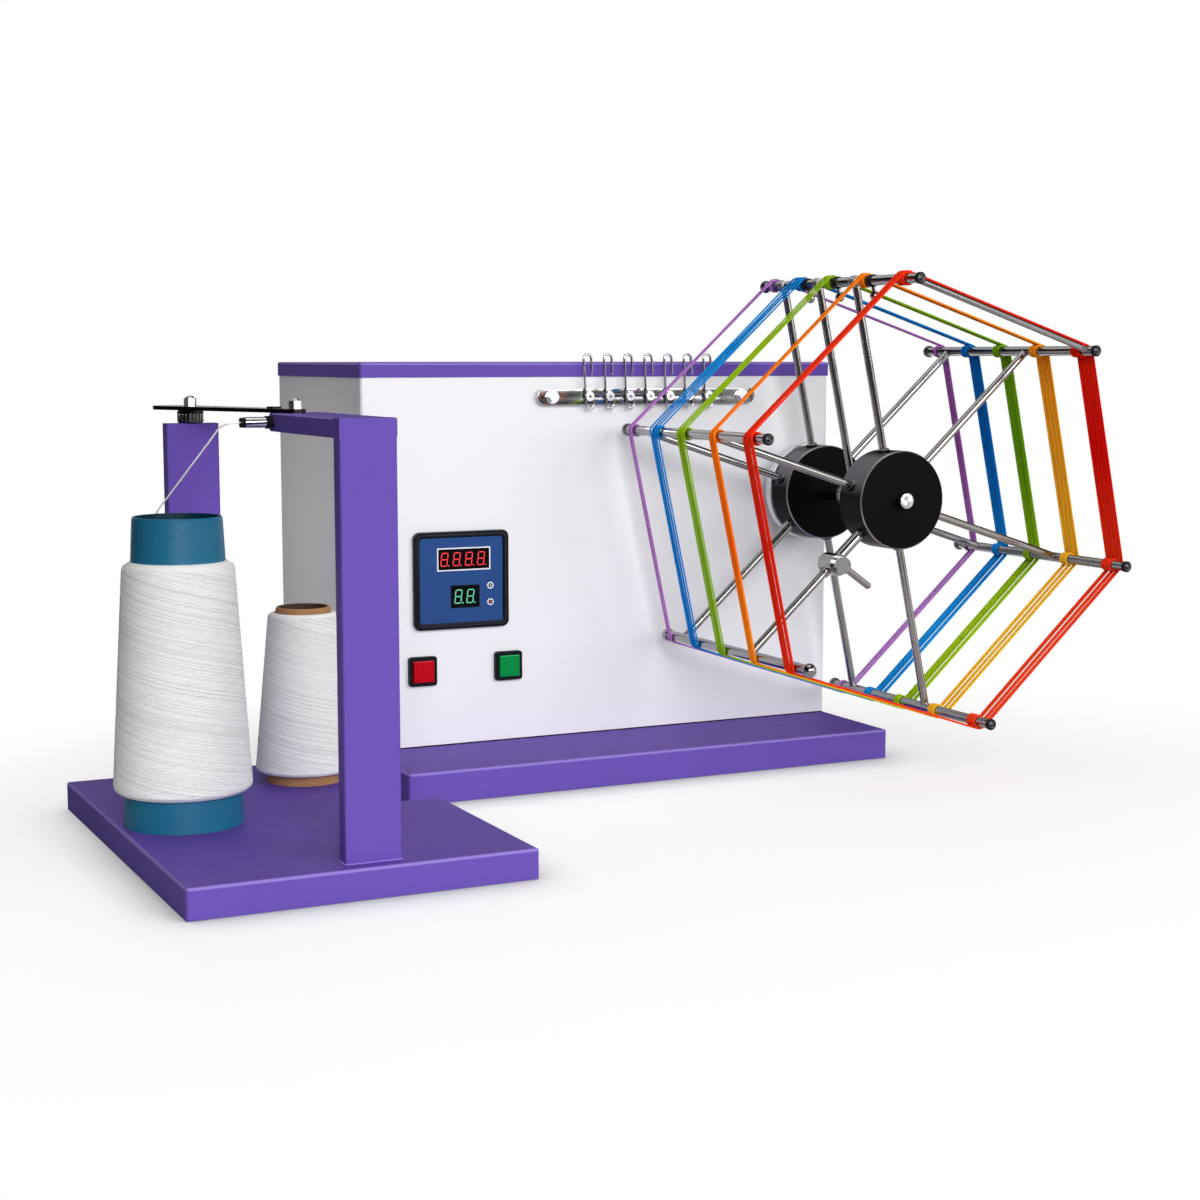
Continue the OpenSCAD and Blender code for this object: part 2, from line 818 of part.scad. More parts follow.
// Part of a wire ring in the XZ plane: its upper or lower half, from x0 to the right
module wire_bend(upper, x0) {
    reach = hook_w / 2 + wire_d;
    intersection() {
        rotate([90, 0, 0]) rotate_extrude() translate([hook_w / 2, 0]) circle(d = wire_d, $fn = 24);
        translate([x0, -wire_d, upper ? 0 : -reach]) cube([reach - x0, 2 * wire_d, reach]);
    }
}

module wire_run(x, z0, z1) {
    translate([x, 0, z0]) cylinder(d = wire_d, h = z1 - z0, $fn = 24);
}

// Pigtail guide: closed eye below, open curl above
module pigtail() {
    r = hook_w / 2;
    low = -hook_loop_h / 2 - loop_below + r;
    eye_top = low + hook_loop_h - 2 * r;
    top = low - r + hook_h - r;
    translate([0, 0, low]) wire_bend(false, -hook_w);
    wire_run(-r, low, top);
    wire_run(r, low, eye_top);
    translate([0, 0, eye_top]) wire_bend(true, wire_d / 2 + seat_gap - r);
    translate([0, 0, top]) wire_bend(true, -hook_w);
    wire_run(r, top - hook_drop + r, top);
    translate([r, 0, top - hook_drop + r]) sphere(d = wire_d, $fn = 24);
}

module pigtail_guides() color([0.66, 0.67, 0.7]) {
    for (x = hook_places()) translate([x, wire_y, rail_z]) rotate([0, -hook_lean, 0]) pigtail();
}

// Creel

module creel_board() color([0.37, 0.29, 0.64]) {
    translate([creel_x0, creel_y0, 0]) {
        eased_board(creel_w, creel_d - notch_d, creel_h, board_r);
        eased_board(creel_w - notch_w, creel_d, creel_h, board_r);
    }
}

module front_post() color([0.37, 0.29, 0.64]) {
    difference() {
        union() {
            translate([post_x - post_w / 2, post_y, creel_h])
                linear_extrude(arm_top - creel_h) rounded_plan(post_w, post_t, post_r);
            translate([post_x - post_w / 2, arm_end, arm_top - post_t]) rotate([90, 0, 0])
                linear_extrude(arm_l) rounded_plan(post_w, post_t, post_r);
        }
        translate([guide_face - cut, guide_y, guide_z]) rotate([0, 90, 0])
            cylinder(d = guide_bore, h = post_w + 2 * cut);
        translate([tongue_at.x, tongue_at.y, arm_top - post_t / 2])
            cylinder(d = stud_d + 2 * fit, h = post_t);
    }
}

module rear_post() color([0.37, 0.29, 0.64]) {
    difference() {
        translate([rear_x - post_w / 2, rear_y - post_t / 2, creel_h])
            linear_extrude(rear_top - creel_h) rounded_plan(post_w, post_t, post_r);
        translate([rear_x, rear_y, rear_top - post_t]) cylinder(d = stud_d + 2 * fit, h = post_t + cut);
    }
}

module post_spacer() color([0.2, 0.2, 0.21]) {
    translate([rear_x, rear_y, rear_top]) difference() {
        cylinder(d = spacer_d, h = spacer_h);
        translate([0, 0, -cut]) cylinder(d = stud_d + 2 * fit, h = spacer_h + 2 * cut);
    }
}

module guide_plate() color([0.2, 0.2, 0.22]) {
    difference() {
        union() {
            translate([0, 0, arm_top]) linear_extrude(plate_t)
                strap(tongue_at, tongue_r, rear_at + plate_tail * plate_dir, plate_r);
            translate([rivet_at.x, rivet_at.y, plate_top - eps]) cylinder(d = rivet_d, h = rivet_h);
        }
        for (p = [tongue_at, rear_at])
            translate([p.x, p.y, arm_top - cut]) cylinder(d = stud_d + 2 * fit, h = plate_t + 2 * cut);
    }
}

// Domed nut with its stud
module cap_nut(stud_l) {
    cylinder(d = nut_d / cos(30), h = nut_h, $fn = 6);
    translate([0, 0, nut_h - nut_d / 4]) intersection() {
        sphere(d = nut_d, $fn = 48);
        cylinder(d = nut_d + cut, h = nut_d);
    }
    translate([0, 0, -stud_l]) cylinder(d = stud_d, h = stud_l + eps);
}

module cap_nuts() color([0.7, 0.71, 0.73]) {
    translate([tongue_at.x, tongue_at.y, plate_top]) cap_nut(plate_t + post_t / 2 - seat_gap);
    translate([rear_at.x, rear_at.y, plate_top]) cap_nut(plate_t + spacer_h + post_t - seat_gap);
}

// Yarn guide tube on the arm's side
module sideways(x, l, d, bore) {
    translate([x - l, guide_y, guide_z]) rotate([0, 90, 0]) difference() {
        cylinder(d = d, h = l);
        translate([0, 0, -cut]) cylinder(d = bore, h = l + 2 * cut);
    }
}

module guide_tube() color([0.72, 0.73, 0.75]) sideways(guide_face, guide_l, guide_od, guide_bore);

module tube_rings() color([0.08, 0.08, 0.09]) {
    sideways(guide_face, ring_w, ring_od, guide_od + 2 * fit);
    sideways(guide_face - guide_l, mouth_l, mouth_od, mouth_bore);
    sideways(guide_face - guide_l + mouth_l, mouth_l + eps, guide_bore - 2 * fit, mouth_bore);
}

// Conical tube with a bead round its nose
module cone_tube(h, foot, nose) {
    rotate_extrude() polygon([[foot / 2 - tube_wall, 0], [foot / 2, 0], [nose / 2, h - nose_ease.y],
        [nose / 2 - nose_ease.x, h], [nose / 2 - tube_wall, h]]);
}

// Wound yarn on a cone from z0 to z1, with rounded shoulders
module cone_yarn(h, foot, nose, z0, z1, r0, r1, round_r) {
    tube_at = function(z) foot / 2 + (nose - foot) / 2 * z / h + seat_gap;
    rotate_extrude() polygon(concat(
        [[tube_at(z0), z0], [r0 - round_r, z0]],
        [for (a = [30 : 30 : 90]) [r0 - round_r + round_r * sin(a), z0 + round_r * (1 - cos(a))]],
        [for (a = [90 : -30 : 30]) [r1 - round_r + round_r * sin(a), z1 - round_r * (1 - cos(a))]],
        [[r1 - round_r, z1], [tube_at(z1), z1]]));
}

module at_big() { translate([big_at.x, big_at.y, creel_h]) children(); }

module at_small() { translate([small_at.x, small_at.y, creel_h]) children(); }

module large_cone() color([0.08, 0.36, 0.48]) at_big() cone_tube(big_h, big_foot, big_nose);

module large_yarn() color([0.95, 0.95, 0.94]) at_big()
    cone_yarn(big_h, big_foot, big_nose, big_bare[0], big_h - big_bare[1], big_yarn[0], big_yarn[1],
        shoulder);

module small_cone() color([0.62, 0.43, 0.27]) at_small() cone_tube(small_h, small_foot, small_nose);

module small_yarn() color([0.95, 0.95, 0.94]) at_small()
    cone_yarn(small_h, small_foot, small_nose, small_bare[0], small_h - small_bare[1], small_yarn[0],
        small_yarn[1], small_shoulder);

module cone_pegs() color([0.7, 0.71, 0.73]) {
    at_big() peg();
    at_small() peg();
}

module peg() {
    tip = 4;
    rotate_extrude() polygon([[0, 0], [peg_d, 0], [peg_d, tip], [peg_d / 2, 2 * tip],
        [peg_d / 2, peg_h - tip], [peg_d / 2 - tip, peg_h], [0, peg_h]]);
}

// Point on a smooth curve through four route points, at share t between the middle two
function curve_point(a, b, c, d, t) = 0.5 * (2 * b + (c - a) * t + (2 * a - 5 * b + 4 * c - d) * t * t
    + (3 * b - a - 3 * c + d) * t * t * t);

// Points along a route, with the given number of steps between neighbours
function smooth_route(p, steps) = let (last = len(p) - 1) concat(
    [for (i = [0 : last - 1], s = [0 : steps - 1]) curve_point(p[max(i - 1, 0)], p[i], p[i + 1],
        p[min(i + 2, last)], s / steps)], [p[last]]);

// Unit vector
function unit(v) = v / norm(v);

// Ring of points about c, square to direction d
function ring_about(c, d, r, sides) = let (u = unit(cross(d, [1, 0, 0.2])), v = cross(unit(d), u))
    [for (s = [0 : sides - 1]) c + r * (cos(360 * s / sides) * u + sin(360 * s / sides) * v)];

// Closed tube from rings of equal count
module tube_of_rings(rings) {
    n = len(rings);
    sides = len(rings[0]);
    points = [for (ring = rings, p = ring) p];
    skin = [for (i = [0 : n - 2], s = [0 : sides - 1]) let (a = i * sides + s,
        b = i * sides + (s + 1) % sides) each [[a, b + sides, b], [a, a + sides, b + sides]]];
    first = [for (s = [1 : sides - 2]) [0, s, s + 1]];
    end = (n - 1) * sides;
    last = [for (s = [1 : sides - 2]) [end, end + s + 1, end + s]];
    polyhedron(points, concat(skin, first, last));
}

module feed_yarn() color([0.96, 0.96, 0.95]) {
    path = smooth_route(feed_route, feed_steps);
    n = len(path);
    tube_of_rings([for (i = [0 : n - 1])
        ring_about(path[i], path[min(i + 1, n - 1)] - path[max(i - 1, 0)], yarn_d / 2, feed_sides)]);
}

// Drive inside the cabinet

module drive_motor() color([0.3, 0.3, 0.32]) {
    front = bracket_y + bracket_t;
    translate([motor_cx, 0, motor_cz]) difference() {
        union() {
            translate([-gearbox_w / 2, front, -gearbox_w / 2]) cube([gearbox_w, gearbox_l, gearbox_w]);
            backward(front + gearbox_l - eps, motor_l, motor_d);
        }
        backward(front - cut, motor_shaft_in + 2 * cut, motor_shaft_d + 2 * slip);
    }
}

module motor_bracket() color([0.6, 0.61, 0.63]) {
    translate([motor_cx - bracket_w / 2, bracket_y, base_h]) difference() {
        union() {
            cube([bracket_w, bracket_t, motor_z + gearbox_w / 2]);
            cube([bracket_w, bracket_foot, bracket_t]);
        }
        translate([bracket_w / 2, 0, motor_z])
            backward(-cut, bracket_t + 2 * cut, motor_shaft_d + shaft_room);
    }
}

// Grooved pulley that starts at the pulleys' common plane
module pulley(d, bore) {
    rim = d / 2 + pulley_flange;
    translate([0, pulley_y, 0]) rotate([-90, 0, 0]) rotate_extrude() polygon([[bore / 2, 0], [rim, 0],
        [rim, pulley_rim_t], [d / 2, pulley_rim_t], [d / 2, pulley_w - pulley_rim_t],
        [rim, pulley_w - pulley_rim_t], [rim, pulley_w], [bore / 2, pulley_w]]);
}

module motor_pulley() color([0.75, 0.76, 0.78]) {
    translate([motor_cx, 0, motor_cz]) {
        pulley(motor_pulley_d, 0);
        backward(pulley_y + pulley_w - eps, bracket_y + bracket_t + motor_shaft_in - pulley_y - pulley_w,
            motor_shaft_d);
    }
}

module drive_belt() color([0.07, 0.07, 0.07]) {
    reel_at = [0, -axis_z];
    motor_at = [motor_cx, -motor_cz];
    inner = [reel_pulley_d, motor_pulley_d] / 2 + [belt_gap, belt_gap];
    outer = inner + [belt_t, belt_t];
    translate([0, belt_y, 0]) rotate([-90, 0, 0]) linear_extrude(belt_w) difference() {
        strap(reel_at, outer[0], motor_at, outer[1]);
        strap(reel_at, inner[0], motor_at, inner[1]);
    }
}

module bearing_housing() color([0.82, 0.83, 0.85]) {
    on_axis() difference() {
        union() {
            forward(-flange_y0 + flange_t, flange_t, flange_d);
            forward(0, flange_y0 - flange_t + eps, neck_d);
            backward(-eps, tail_l, tail_d);
        }
        forward(tail_l + cut, tail_l + flange_y0 + 2 * cut, shaft_d + bore_room);
        forward(-flange_y0 + bearing_w, bearing_w + cut, bearing_od + 2 * fit);
        backward(tail_l - bearing_w - eps, bearing_w + cut, bearing_od + 2 * fit);
    }
}

// Ring that draws the housing against the cabinet front from inside
module housing_nut() color([0.6, 0.61, 0.63]) {
    on_axis() difference() {
        backward(sheet, nut_w, nut_od);
        backward(sheet - cut, nut_w + 2 * cut, tail_d + 2 * fit);
    }
}

module shaft_bearings() color([0.55, 0.56, 0.58]) {
    on_axis() for (y = [-flange_y0 + bearing_w, tail_l]) difference() {
        forward(y, bearing_w, bearing_od);
        forward(y + cut, bearing_w + 2 * cut, shaft_d + 2 * fit);
    }
}

// Sensor that counts the turns, on a bracket from the right wall
module count_sensor() color([0.5, 0.5, 0.52]) {
    face = pulley_y + pulley_w + sensor_gap;
    reach = cab_x1 - sheet;
    half = sensor_d / 2 + sensor_plate;
    bracket_y0 = face + sensor_l / 2;
    translate([0, 0, axis_z - sensor_r]) {
        backward(face, sensor_l, sensor_d);
        translate([-half, bracket_y0, -half]) cube([2 * half, sensor_block_l, 2 * half]);
        translate([0, bracket_y0, -half]) cube([reach, sensor_block_l, sensor_plate]);
        translate([reach - sensor_plate, bracket_y0, -half - sensor_drop])
            cube([sensor_plate, sensor_block_l, sensor_drop + sensor_plate]);
    }
}

// Reel

module reel_shaft() color([0.74, 0.75, 0.77]) {
    front = front_hub_y + front_hub_t + shaft_nose;
    ease = 1;
    on_axis() translate([0, shaft_in, 0]) rotate([90, 0, 0]) rotate_extrude() polygon([[0, 0],
        [shaft_d / 2, 0], [shaft_d / 2, shaft_in + front - ease], [shaft_d / 2 - ease, shaft_in + front],
        [centre_r, shaft_in + front], [0, shaft_in + front - centre_r]]);
}

// Hub disc with radial seats for the spokes and a deeper one for the folding arm
module hub(y0, t, y_mid) {
    difference() {
        on_axis() translate([0, -y0, 0]) rotate([90, 0, 0]) rotate_extrude() polygon([
            [shaft_d / 2 + fit, 0], [hub_r - hub_edge, 0], [hub_r, hub_edge], [hub_r, t - hub_edge],
            [hub_r - hub_edge, t], [shaft_d / 2 + fit, t]]);
        for (k = fixed_bars) on_spoke(k, y_mid) radial(hub_r - hub_seat, hub_r + cut, spoke_d + 2 * fit);
        on_spoke(fold_bar, y_mid) {
            radial(sleeve_in, hub_r + cut, sleeve_d + 2 * fit);
            radial(rod_stop, sleeve_in + eps, sleeve_bore);
        }
    }
}

module rear_hub() color([0.04, 0.04, 0.05]) hub(rear_hub_y, rear_hub_t, rear_plane);

module front_hub() color([0.04, 0.04, 0.05]) hub(front_hub_y, front_hub_t, front_plane);

module spokes() color([0.68, 0.69, 0.71]) {
    for (k = fixed_bars, y = spoke_planes)
        on_spoke(k, y) radial(hub_r - hub_seat + fit, spoke_tip, spoke_d);
}

// Crossbar k with blind seats for what stands on it
module crossbar(k, seats) {
    difference() {
        at_bar(k) forward(-bar_back, bar_l, bar_d);
        for (y = seats) on_spoke(k, y) radial(reel_r - bar_d, spoke_tip + fit, spoke_d + 2 * fit);
    }
}

// Rod that ties the front ends of the first two crossbars, let into each by the seat
module front_tie(seat, d) {
    reach = bar_d / 2 - seat;
    at_bar(0) translate([0, -bar_end + tie_in, 0]) rotate([0, 90 - tie_angle, 0])
        translate([0, 0, reach]) cylinder(d = d, h = tie_span - 2 * reach);
}

module crossbars() color([0.68, 0.69, 0.71]) {
    difference() {
        crossbar(0, concat(spoke_planes, [stay_plane]));
        for (y = stud_places()) on_spoke(0, y) radial(reel_r - bar_d, stud_tip + fit, stud_shank + 2 * fit);
        front_tie(tie_seat + fit, tie_d + 2 * fit);
    }
    difference() {
        crossbar(1, spoke_planes);
        front_tie(tie_seat + fit, tie_d + 2 * fit);
    }
    for (k = [2, 3, 5]) crossbar(k, spoke_planes);
    front_tie(tie_seat, tie_d);
}

// Round cap pushed over a bar's front end
module front_cap(d) {
    ease = cap_end / 2;
    bore = bar_d / 2 + fit;
    translate([0, -bar_end + cap_over, 0]) rotate([90, 0, 0]) rotate_extrude() polygon([[bore, 0],
        [d / 2, 0], [d / 2, cap_over + cap_end - ease], [d / 2 - ease, cap_over + cap_end],
        [0, cap_over + cap_end], [0, cap_over + fit], [bore, cap_over + fit]]);
}

// Ball pushed over a bar's end, which faces the given side
module ball_cap(y, side, d) {
    seat = d / 4;
    difference() {
        translate([0, y, 0]) sphere(d = d, $fn = 48);
        translate([0, y + side * seat, 0]) rotate([-90 * side, 0, 0]) cylinder(d = bar_d + 2 * fit, h = d);
    }
}

module bar_caps() color([0.07, 0.07, 0.08]) {
    for (k = fixed_bars) at_bar(k) {
        front_cap(cap_d);
        ball_cap(-bar_back + rear_cap_d / 4 + fit, -1, rear_cap_d);
    }
}

// Ring round crossbar k at y, drilled for what passes through it
module bar_collar(k, y, w, hole) {
    difference() {
        at_bar(k) translate([0, w / 2, 0]) difference() {
            forward(y, w, collar_d);
            forward(y + cut, w + 2 * cut, bar_d + 2 * fit);
        }
        on_spoke(k, y) radial(reel_r - collar_d, reel_r, hole + 2 * fit);
    }
}

function stud_places() = [for (i = studded) -hank_y[i] - stud_y];

module bar_collars() color([0.08, 0.08, 0.09]) {
    for (y = concat(spoke_planes, [stay_plane])) bar_collar(0, y, collar_w, spoke_d);
    for (y = stud_places()) bar_collar(0, y, stud_collar_w, stud_shank);
}

// Extra stay of the first crossbar, on a collar of its own
module centre_stay() color([0.66, 0.67, 0.69]) {
    on_axis() difference() {
        forward(stay_plane + stay_collar_w / 2, stay_collar_w, stay_collar_d);
        forward(stay_plane + stay_collar_w, 2 * stay_collar_w, shaft_d + 2 * fit);
    }
    on_spoke(0, stay_plane) radial(stay_collar_d / 2 - stay_seat, spoke_tip, spoke_d);
}

// Studs with a round head that hold the start of a hank
module yarn_studs() color([0.6, 0.61, 0.63]) {
    for (y = stud_places()) on_spoke(0, y) {
        radial(reel_r - stud_drop, stud_tip, stud_shank);
        translate([0, 0, reel_r - stud_drop]) sphere(d = stud_ball, $fn = 48);
    }
}

module reel_pulley() color([0.75, 0.76, 0.78]) on_axis() pulley(reel_pulley_d, shaft_d + 2 * fit);

// Folding arm

module arm_sleeves() color([0.62, 0.63, 0.65]) {
    for (i = [0, 1]) difference() {
        union() {
            on_spoke(fold_bar, spoke_planes[i]) radial(sleeve_in + fit, sleeve_out[i], sleeve_d);
            if (i == 1) at_clamp() forward(front_plane + clamp_back, clamp_back + clamp_front, clamp_d);
        }
        on_spoke(fold_bar, spoke_planes[i]) radial(sleeve_in - cut, sleeve_out[i] + cut, sleeve_bore);
        if (i == 1) at_clamp() forward(front_plane, clamp_front + cut, screw_bore + 2 * slip);
    }
}

module at_clamp() {
    a = bar_angle(fold_bar);
    on_axis() translate([clamp_r * cos(a), 0, clamp_r * sin(a)]) children();
}

module clamp_lever() color([0.7, 0.71, 0.73]) {
    face = front_plane - clamp_front - lever_gap;
    tip = front_plane - spoke_d / 2 - lever_gap;
    at_clamp() {
        forward(tip, tip - face + eps, screw_bore);
        forward(face, lever_hub_l, lever_hub_d);
        translate([0, face - lever_hub_l / 2, 0]) rotate([0, 90 - lever_a, 0]) {
            cylinder(d = lever_d, h = lever_l, $fn = 32);
            translate([0, 0, lever_l]) sphere(d = lever_d, $fn = 32);
        }
    }
}

module arm_bar() color([0.68, 0.69, 0.71]) {
    crossbar(fold_bar, spoke_planes);
    at_bar(fold_bar) for (y = [-bar_end, -bar_back]) translate([0, y, 0]) sphere(d = ball_d, $fn = 48);
}

module arm_rods() color([0.68, 0.69, 0.71]) {
    for (y = spoke_planes) on_spoke(fold_bar, y) radial(rod_in, spoke_tip, spoke_d);
}

// Hanks

// Middle of a ring of a hank: four rings for each bar, three round it and one on the way to the next
function turn_point(i) = let (k = floor(i / 4), j = i % 4)
    j == 3 ? (corner_point(k, -30) + corner_point(k + 1, 30)) / 2 : corner_point(k, 30 - 30 * j);

function corner_point(k, a) = reel_r * [cos(bar_angle(k)), sin(bar_angle(k))]
    + turn_r * [cos(bar_angle(k) + a), sin(bar_angle(k) + a)];

// Direction that a ring's outside faces
function turn_angle(i) = bar_angle(floor(i / 4)) + max(30 - 30 * (i % 4), -30);

// Middle of ring i of a hank that starts at y0
function hank_point(i, y0) = let (p = turn_point(i))
    [p.x, y0 - strand_pitch * i / rings_per_turn, p.y + axis_z];

function hank_ring(i, y0) = let (a = turn_angle(i), c = hank_point(i, y0), r = strand_d / 2)
    [for (s = [0 : strand_sides - 1]) let (b = 360 * s / strand_sides)
        c + r * [cos(b) * cos(a), -sin(b), cos(b) * sin(a)]];

// Least gap of a hank to itself, measured between points of neighbouring turns
function hank_gap(turns) = min([for (i = [0 : rings_per_turn * (turns - 1) - 1], j = [-2 : 2])
    norm(hank_point(i, 0) - hank_point(max(i + rings_per_turn + j, 0), 0))]) - strand_d;

module hank(which) {
    turns = hank_turns[which];
    y0 = -hank_y[which] + strand_pitch * turns / 2;
    echo(str("least gap of hank ", which), hank_gap(turns));
    tube_of_rings([for (i = [0 : rings_per_turn * turns]) hank_ring(i, y0)]);
}

module hank_violet() color([0.59, 0.36, 0.67]) hank(0);

module hank_blue() color([0.08, 0.44, 0.75]) hank(1);

module hank_green() color([0.36, 0.55, 0.12]) hank(2);

module hank_orange() color([0.98, 0.55, 0.08]) hank(3);

module hank_red() color([0.92, 0.12, 0.05]) hank(4);

base_board();
cabinet_shell();
cabinet_lid();
rear_panel();
rear_screws();
power_inlet();
counter_bezel();
counter_face();
display_windows();
counter_housing();
button_bezels();
switch_bodies();
guide_bar();
guide_fasteners();
pigtail_guides();
creel_board();
front_post();
rear_post();
post_spacer();
guide_plate();
cap_nuts();
guide_tube();
tube_rings();
large_cone();
large_yarn();
small_cone();
small_yarn();
cone_pegs();
feed_yarn();
drive_motor();
motor_bracket();
drive_belt();
bearing_housing();
housing_nut();
shaft_bearings();
count_sensor();
stop_button();
start_button();
key_up();
key_down();
motor_pulley();
reel_shaft();
rear_hub();
front_hub();
spokes();
crossbars();
bar_caps();
bar_collars();
centre_stay();
yarn_studs();
reel_pulley();
arm_sleeves();
hank_violet();
hank_blue();
hank_green();
hank_orange();
hank_red();
arm_bar();
arm_rods();
clamp_lever();
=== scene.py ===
import math
import random

import bpy
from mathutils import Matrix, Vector


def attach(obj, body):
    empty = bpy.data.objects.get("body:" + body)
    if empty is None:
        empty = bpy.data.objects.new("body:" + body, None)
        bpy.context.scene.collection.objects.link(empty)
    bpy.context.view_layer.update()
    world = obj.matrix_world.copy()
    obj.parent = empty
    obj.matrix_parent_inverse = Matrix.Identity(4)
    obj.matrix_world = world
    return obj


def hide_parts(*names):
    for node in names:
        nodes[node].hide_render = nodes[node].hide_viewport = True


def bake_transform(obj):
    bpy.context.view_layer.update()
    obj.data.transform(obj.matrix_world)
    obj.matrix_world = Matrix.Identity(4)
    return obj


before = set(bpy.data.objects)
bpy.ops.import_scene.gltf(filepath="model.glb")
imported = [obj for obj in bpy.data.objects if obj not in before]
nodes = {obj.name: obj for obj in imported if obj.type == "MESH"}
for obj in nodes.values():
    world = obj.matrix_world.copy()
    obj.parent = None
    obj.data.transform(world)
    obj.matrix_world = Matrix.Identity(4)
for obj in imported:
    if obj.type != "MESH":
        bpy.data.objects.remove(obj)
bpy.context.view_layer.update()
scene = bpy.context.scene
scene.view_settings.view_transform = "Standard"
random.seed(11)
TAU = 2 * math.pi
MM = 0.001

# Main sizes and places of the part in mm, and the angle of the reel's top bar in degrees
REEL_R, AXIS_Z, BAR_R = 223.4, 284.5, 5.0
TOP_BAR = 102.15
FIXED_BARS, FOLDING_BAR = (0, 1, 2, 3, 5), 4
HUB_PLANES, STAY_PLANE = (-60, -196), -128
HUB_FRONTS = (-74, -216)
LARGE_AT, SMALL_AT = (-738, -205), (-586, -76)
FRONT_POST_AT, REAR_POST_AT = (-638.5, -406), (-698, -105)
COUNT_WINDOW_AT, SET_WINDOW_AT = (-391.6, 223.5), (-390.2, 185)
GUIDE_BAR_Z = 387.5


def bar_angle(k):
    return math.radians(TOP_BAR - 60 * k)


# Camera at the photograph's viewpoint
def place_camera():
    yaw, pitch = math.radians(26.10), math.radians(6.783)
    look = Vector((math.sin(yaw) * math.cos(pitch), math.cos(yaw) * math.cos(pitch), -math.sin(pitch)))
    data = bpy.data.cameras.new("camera")
    data.lens, data.sensor_width = 61.14, 36
    camera = bpy.data.objects.new("camera", data)
    camera.location = (-1.1788, -1.9280, 0.4278)
    camera.rotation_euler = look.to_track_quat("-Z", "Y").to_euler()
    scene.collection.objects.link(camera)
    scene.camera = camera


place_camera()


# Small tools for materials
def linear(r, g, b):
    def one(c):
        c /= 255
        return c / 12.92 if c <= 0.04045 else ((c + 0.055) / 1.055) ** 2.4
    return (one(r), one(g), one(b), 1)


def shade(c, f):
    return (c[0] * f, c[1] * f, c[2] * f, 1)


def add(owner, kind, values=None, links=None, **props):
    n = owner.node_tree.nodes.new(kind)
    for k, v in props.items():
        setattr(n, k, v)
    for k, v in (values or {}).items():
        n.inputs[k].default_value = v
    for k, s in (links or {}).items():
        owner.node_tree.links.new(s, n.inputs[k])
    return n


# One step of arithmetic with sockets and plain numbers
def calc(owner, operation, *values):
    n = add(owner, "ShaderNodeMath", operation=operation)
    for socket, value in zip(n.inputs, values):
        if isinstance(value, (int, float)):
            socket.default_value = value
        else:
            owner.node_tree.links.new(value, socket)
    return n.outputs[0]


# A value carried over from one range to another
def ranged(owner, value, low, high, start=0.0, end=1.0, **props):
    limits = {"From Min": low, "From Max": high, "To Min": start, "To Max": end}
    return add(owner, "ShaderNodeMapRange", limits, {"Value": value}, **props).outputs[0]


def place_of(mat):
    place = add(mat, "ShaderNodeTexCoord")
    return add(mat, "ShaderNodeSeparateXYZ", links={0: place.outputs["Object"]}).outputs


def facing(mat):
    face = add(mat, "ShaderNodeNewGeometry")
    return add(mat, "ShaderNodeSeparateXYZ", links={0: face.outputs["Normal"]}).outputs


def shader_of(mat):
    return mat.node_tree.nodes["Principled BSDF"]


def plain(name, rough, metallic=0.0, **sockets):
    mat = bpy.data.materials.new(name)
    mat.use_nodes = True
    s = shader_of(mat)
    s.inputs["Roughness"].default_value = rough
    s.inputs["Metallic"].default_value = metallic
    for k, v in sockets.items():
        s.inputs[k.replace("_", " ")].default_value = v
    return mat


def noise(mat, scale, detail, stretch=(1, 1, 1), rough=0.5):
    place = add(mat, "ShaderNodeTexCoord")
    drawn = add(mat, "ShaderNodeMapping", {"Scale": stretch}, {"Vector": place.outputs["Object"]})
    grain = {"Scale": scale, "Detail": detail, "Roughness": rough}
    return add(mat, "ShaderNodeTexNoise", grain, {"Vector": drawn.outputs[0]}).outputs["Fac"]


def tint(mat, factor, dark, light, low=0.3, high=0.7):
    ramp = add(mat, "ShaderNodeValToRGB", links={"Fac": factor})
    first, last = ramp.color_ramp.elements
    first.position, last.position = low, high
    first.color, last.color = dark, light
    mat.node_tree.links.new(ramp.outputs["Color"], shader_of(mat).inputs["Base Color"])
    return ramp


def spread(mat, factor, socket, low, high):
    mat.node_tree.links.new(ranged(mat, factor, 0, 1, low, high), shader_of(mat).inputs[socket])


def relief(mat, height, strength, depth):
    bump = add(mat, "ShaderNodeBump", {"Strength": strength, "Distance": depth}, {"Height": height})
    mat.node_tree.links.new(bump.outputs[0], shader_of(mat).inputs["Normal"])


# A second colour over the material's own, by a factor from 0 to 1
def cover(mat, factor, color):
    base = shader_of(mat).inputs["Base Color"]
    own = base.links[0].from_socket
    mix = add(mat, "ShaderNodeMix", {7: linear(*color)}, {0: factor, 6: own}, data_type="RGBA")
    mat.node_tree.links.new(mix.outputs[2], base)


# Paint, plastic and rubber: colour that drifts a little, uneven gloss and a fine skin
def coated(name, color, rough, skin=900, depth=0.00004, drift=0.05, uneven=0.06, strength=0.35, **sockets):
    mat = plain(name, rough, **sockets)
    c = linear(*color)
    tint(mat, noise(mat, 9, 4), shade(c, 1 - drift), shade(c, 1 + drift))
    spread(mat, noise(mat, 60, 5), "Roughness", rough - uneven, rough + uneven)
    relief(mat, noise(mat, skin, 2), strength, depth)
    return mat


def rubber_coat(name, rough):
    return coated(name, (10, 10, 12), rough, skin=1600, drift=0.2, Specular_IOR_Level=0.15)


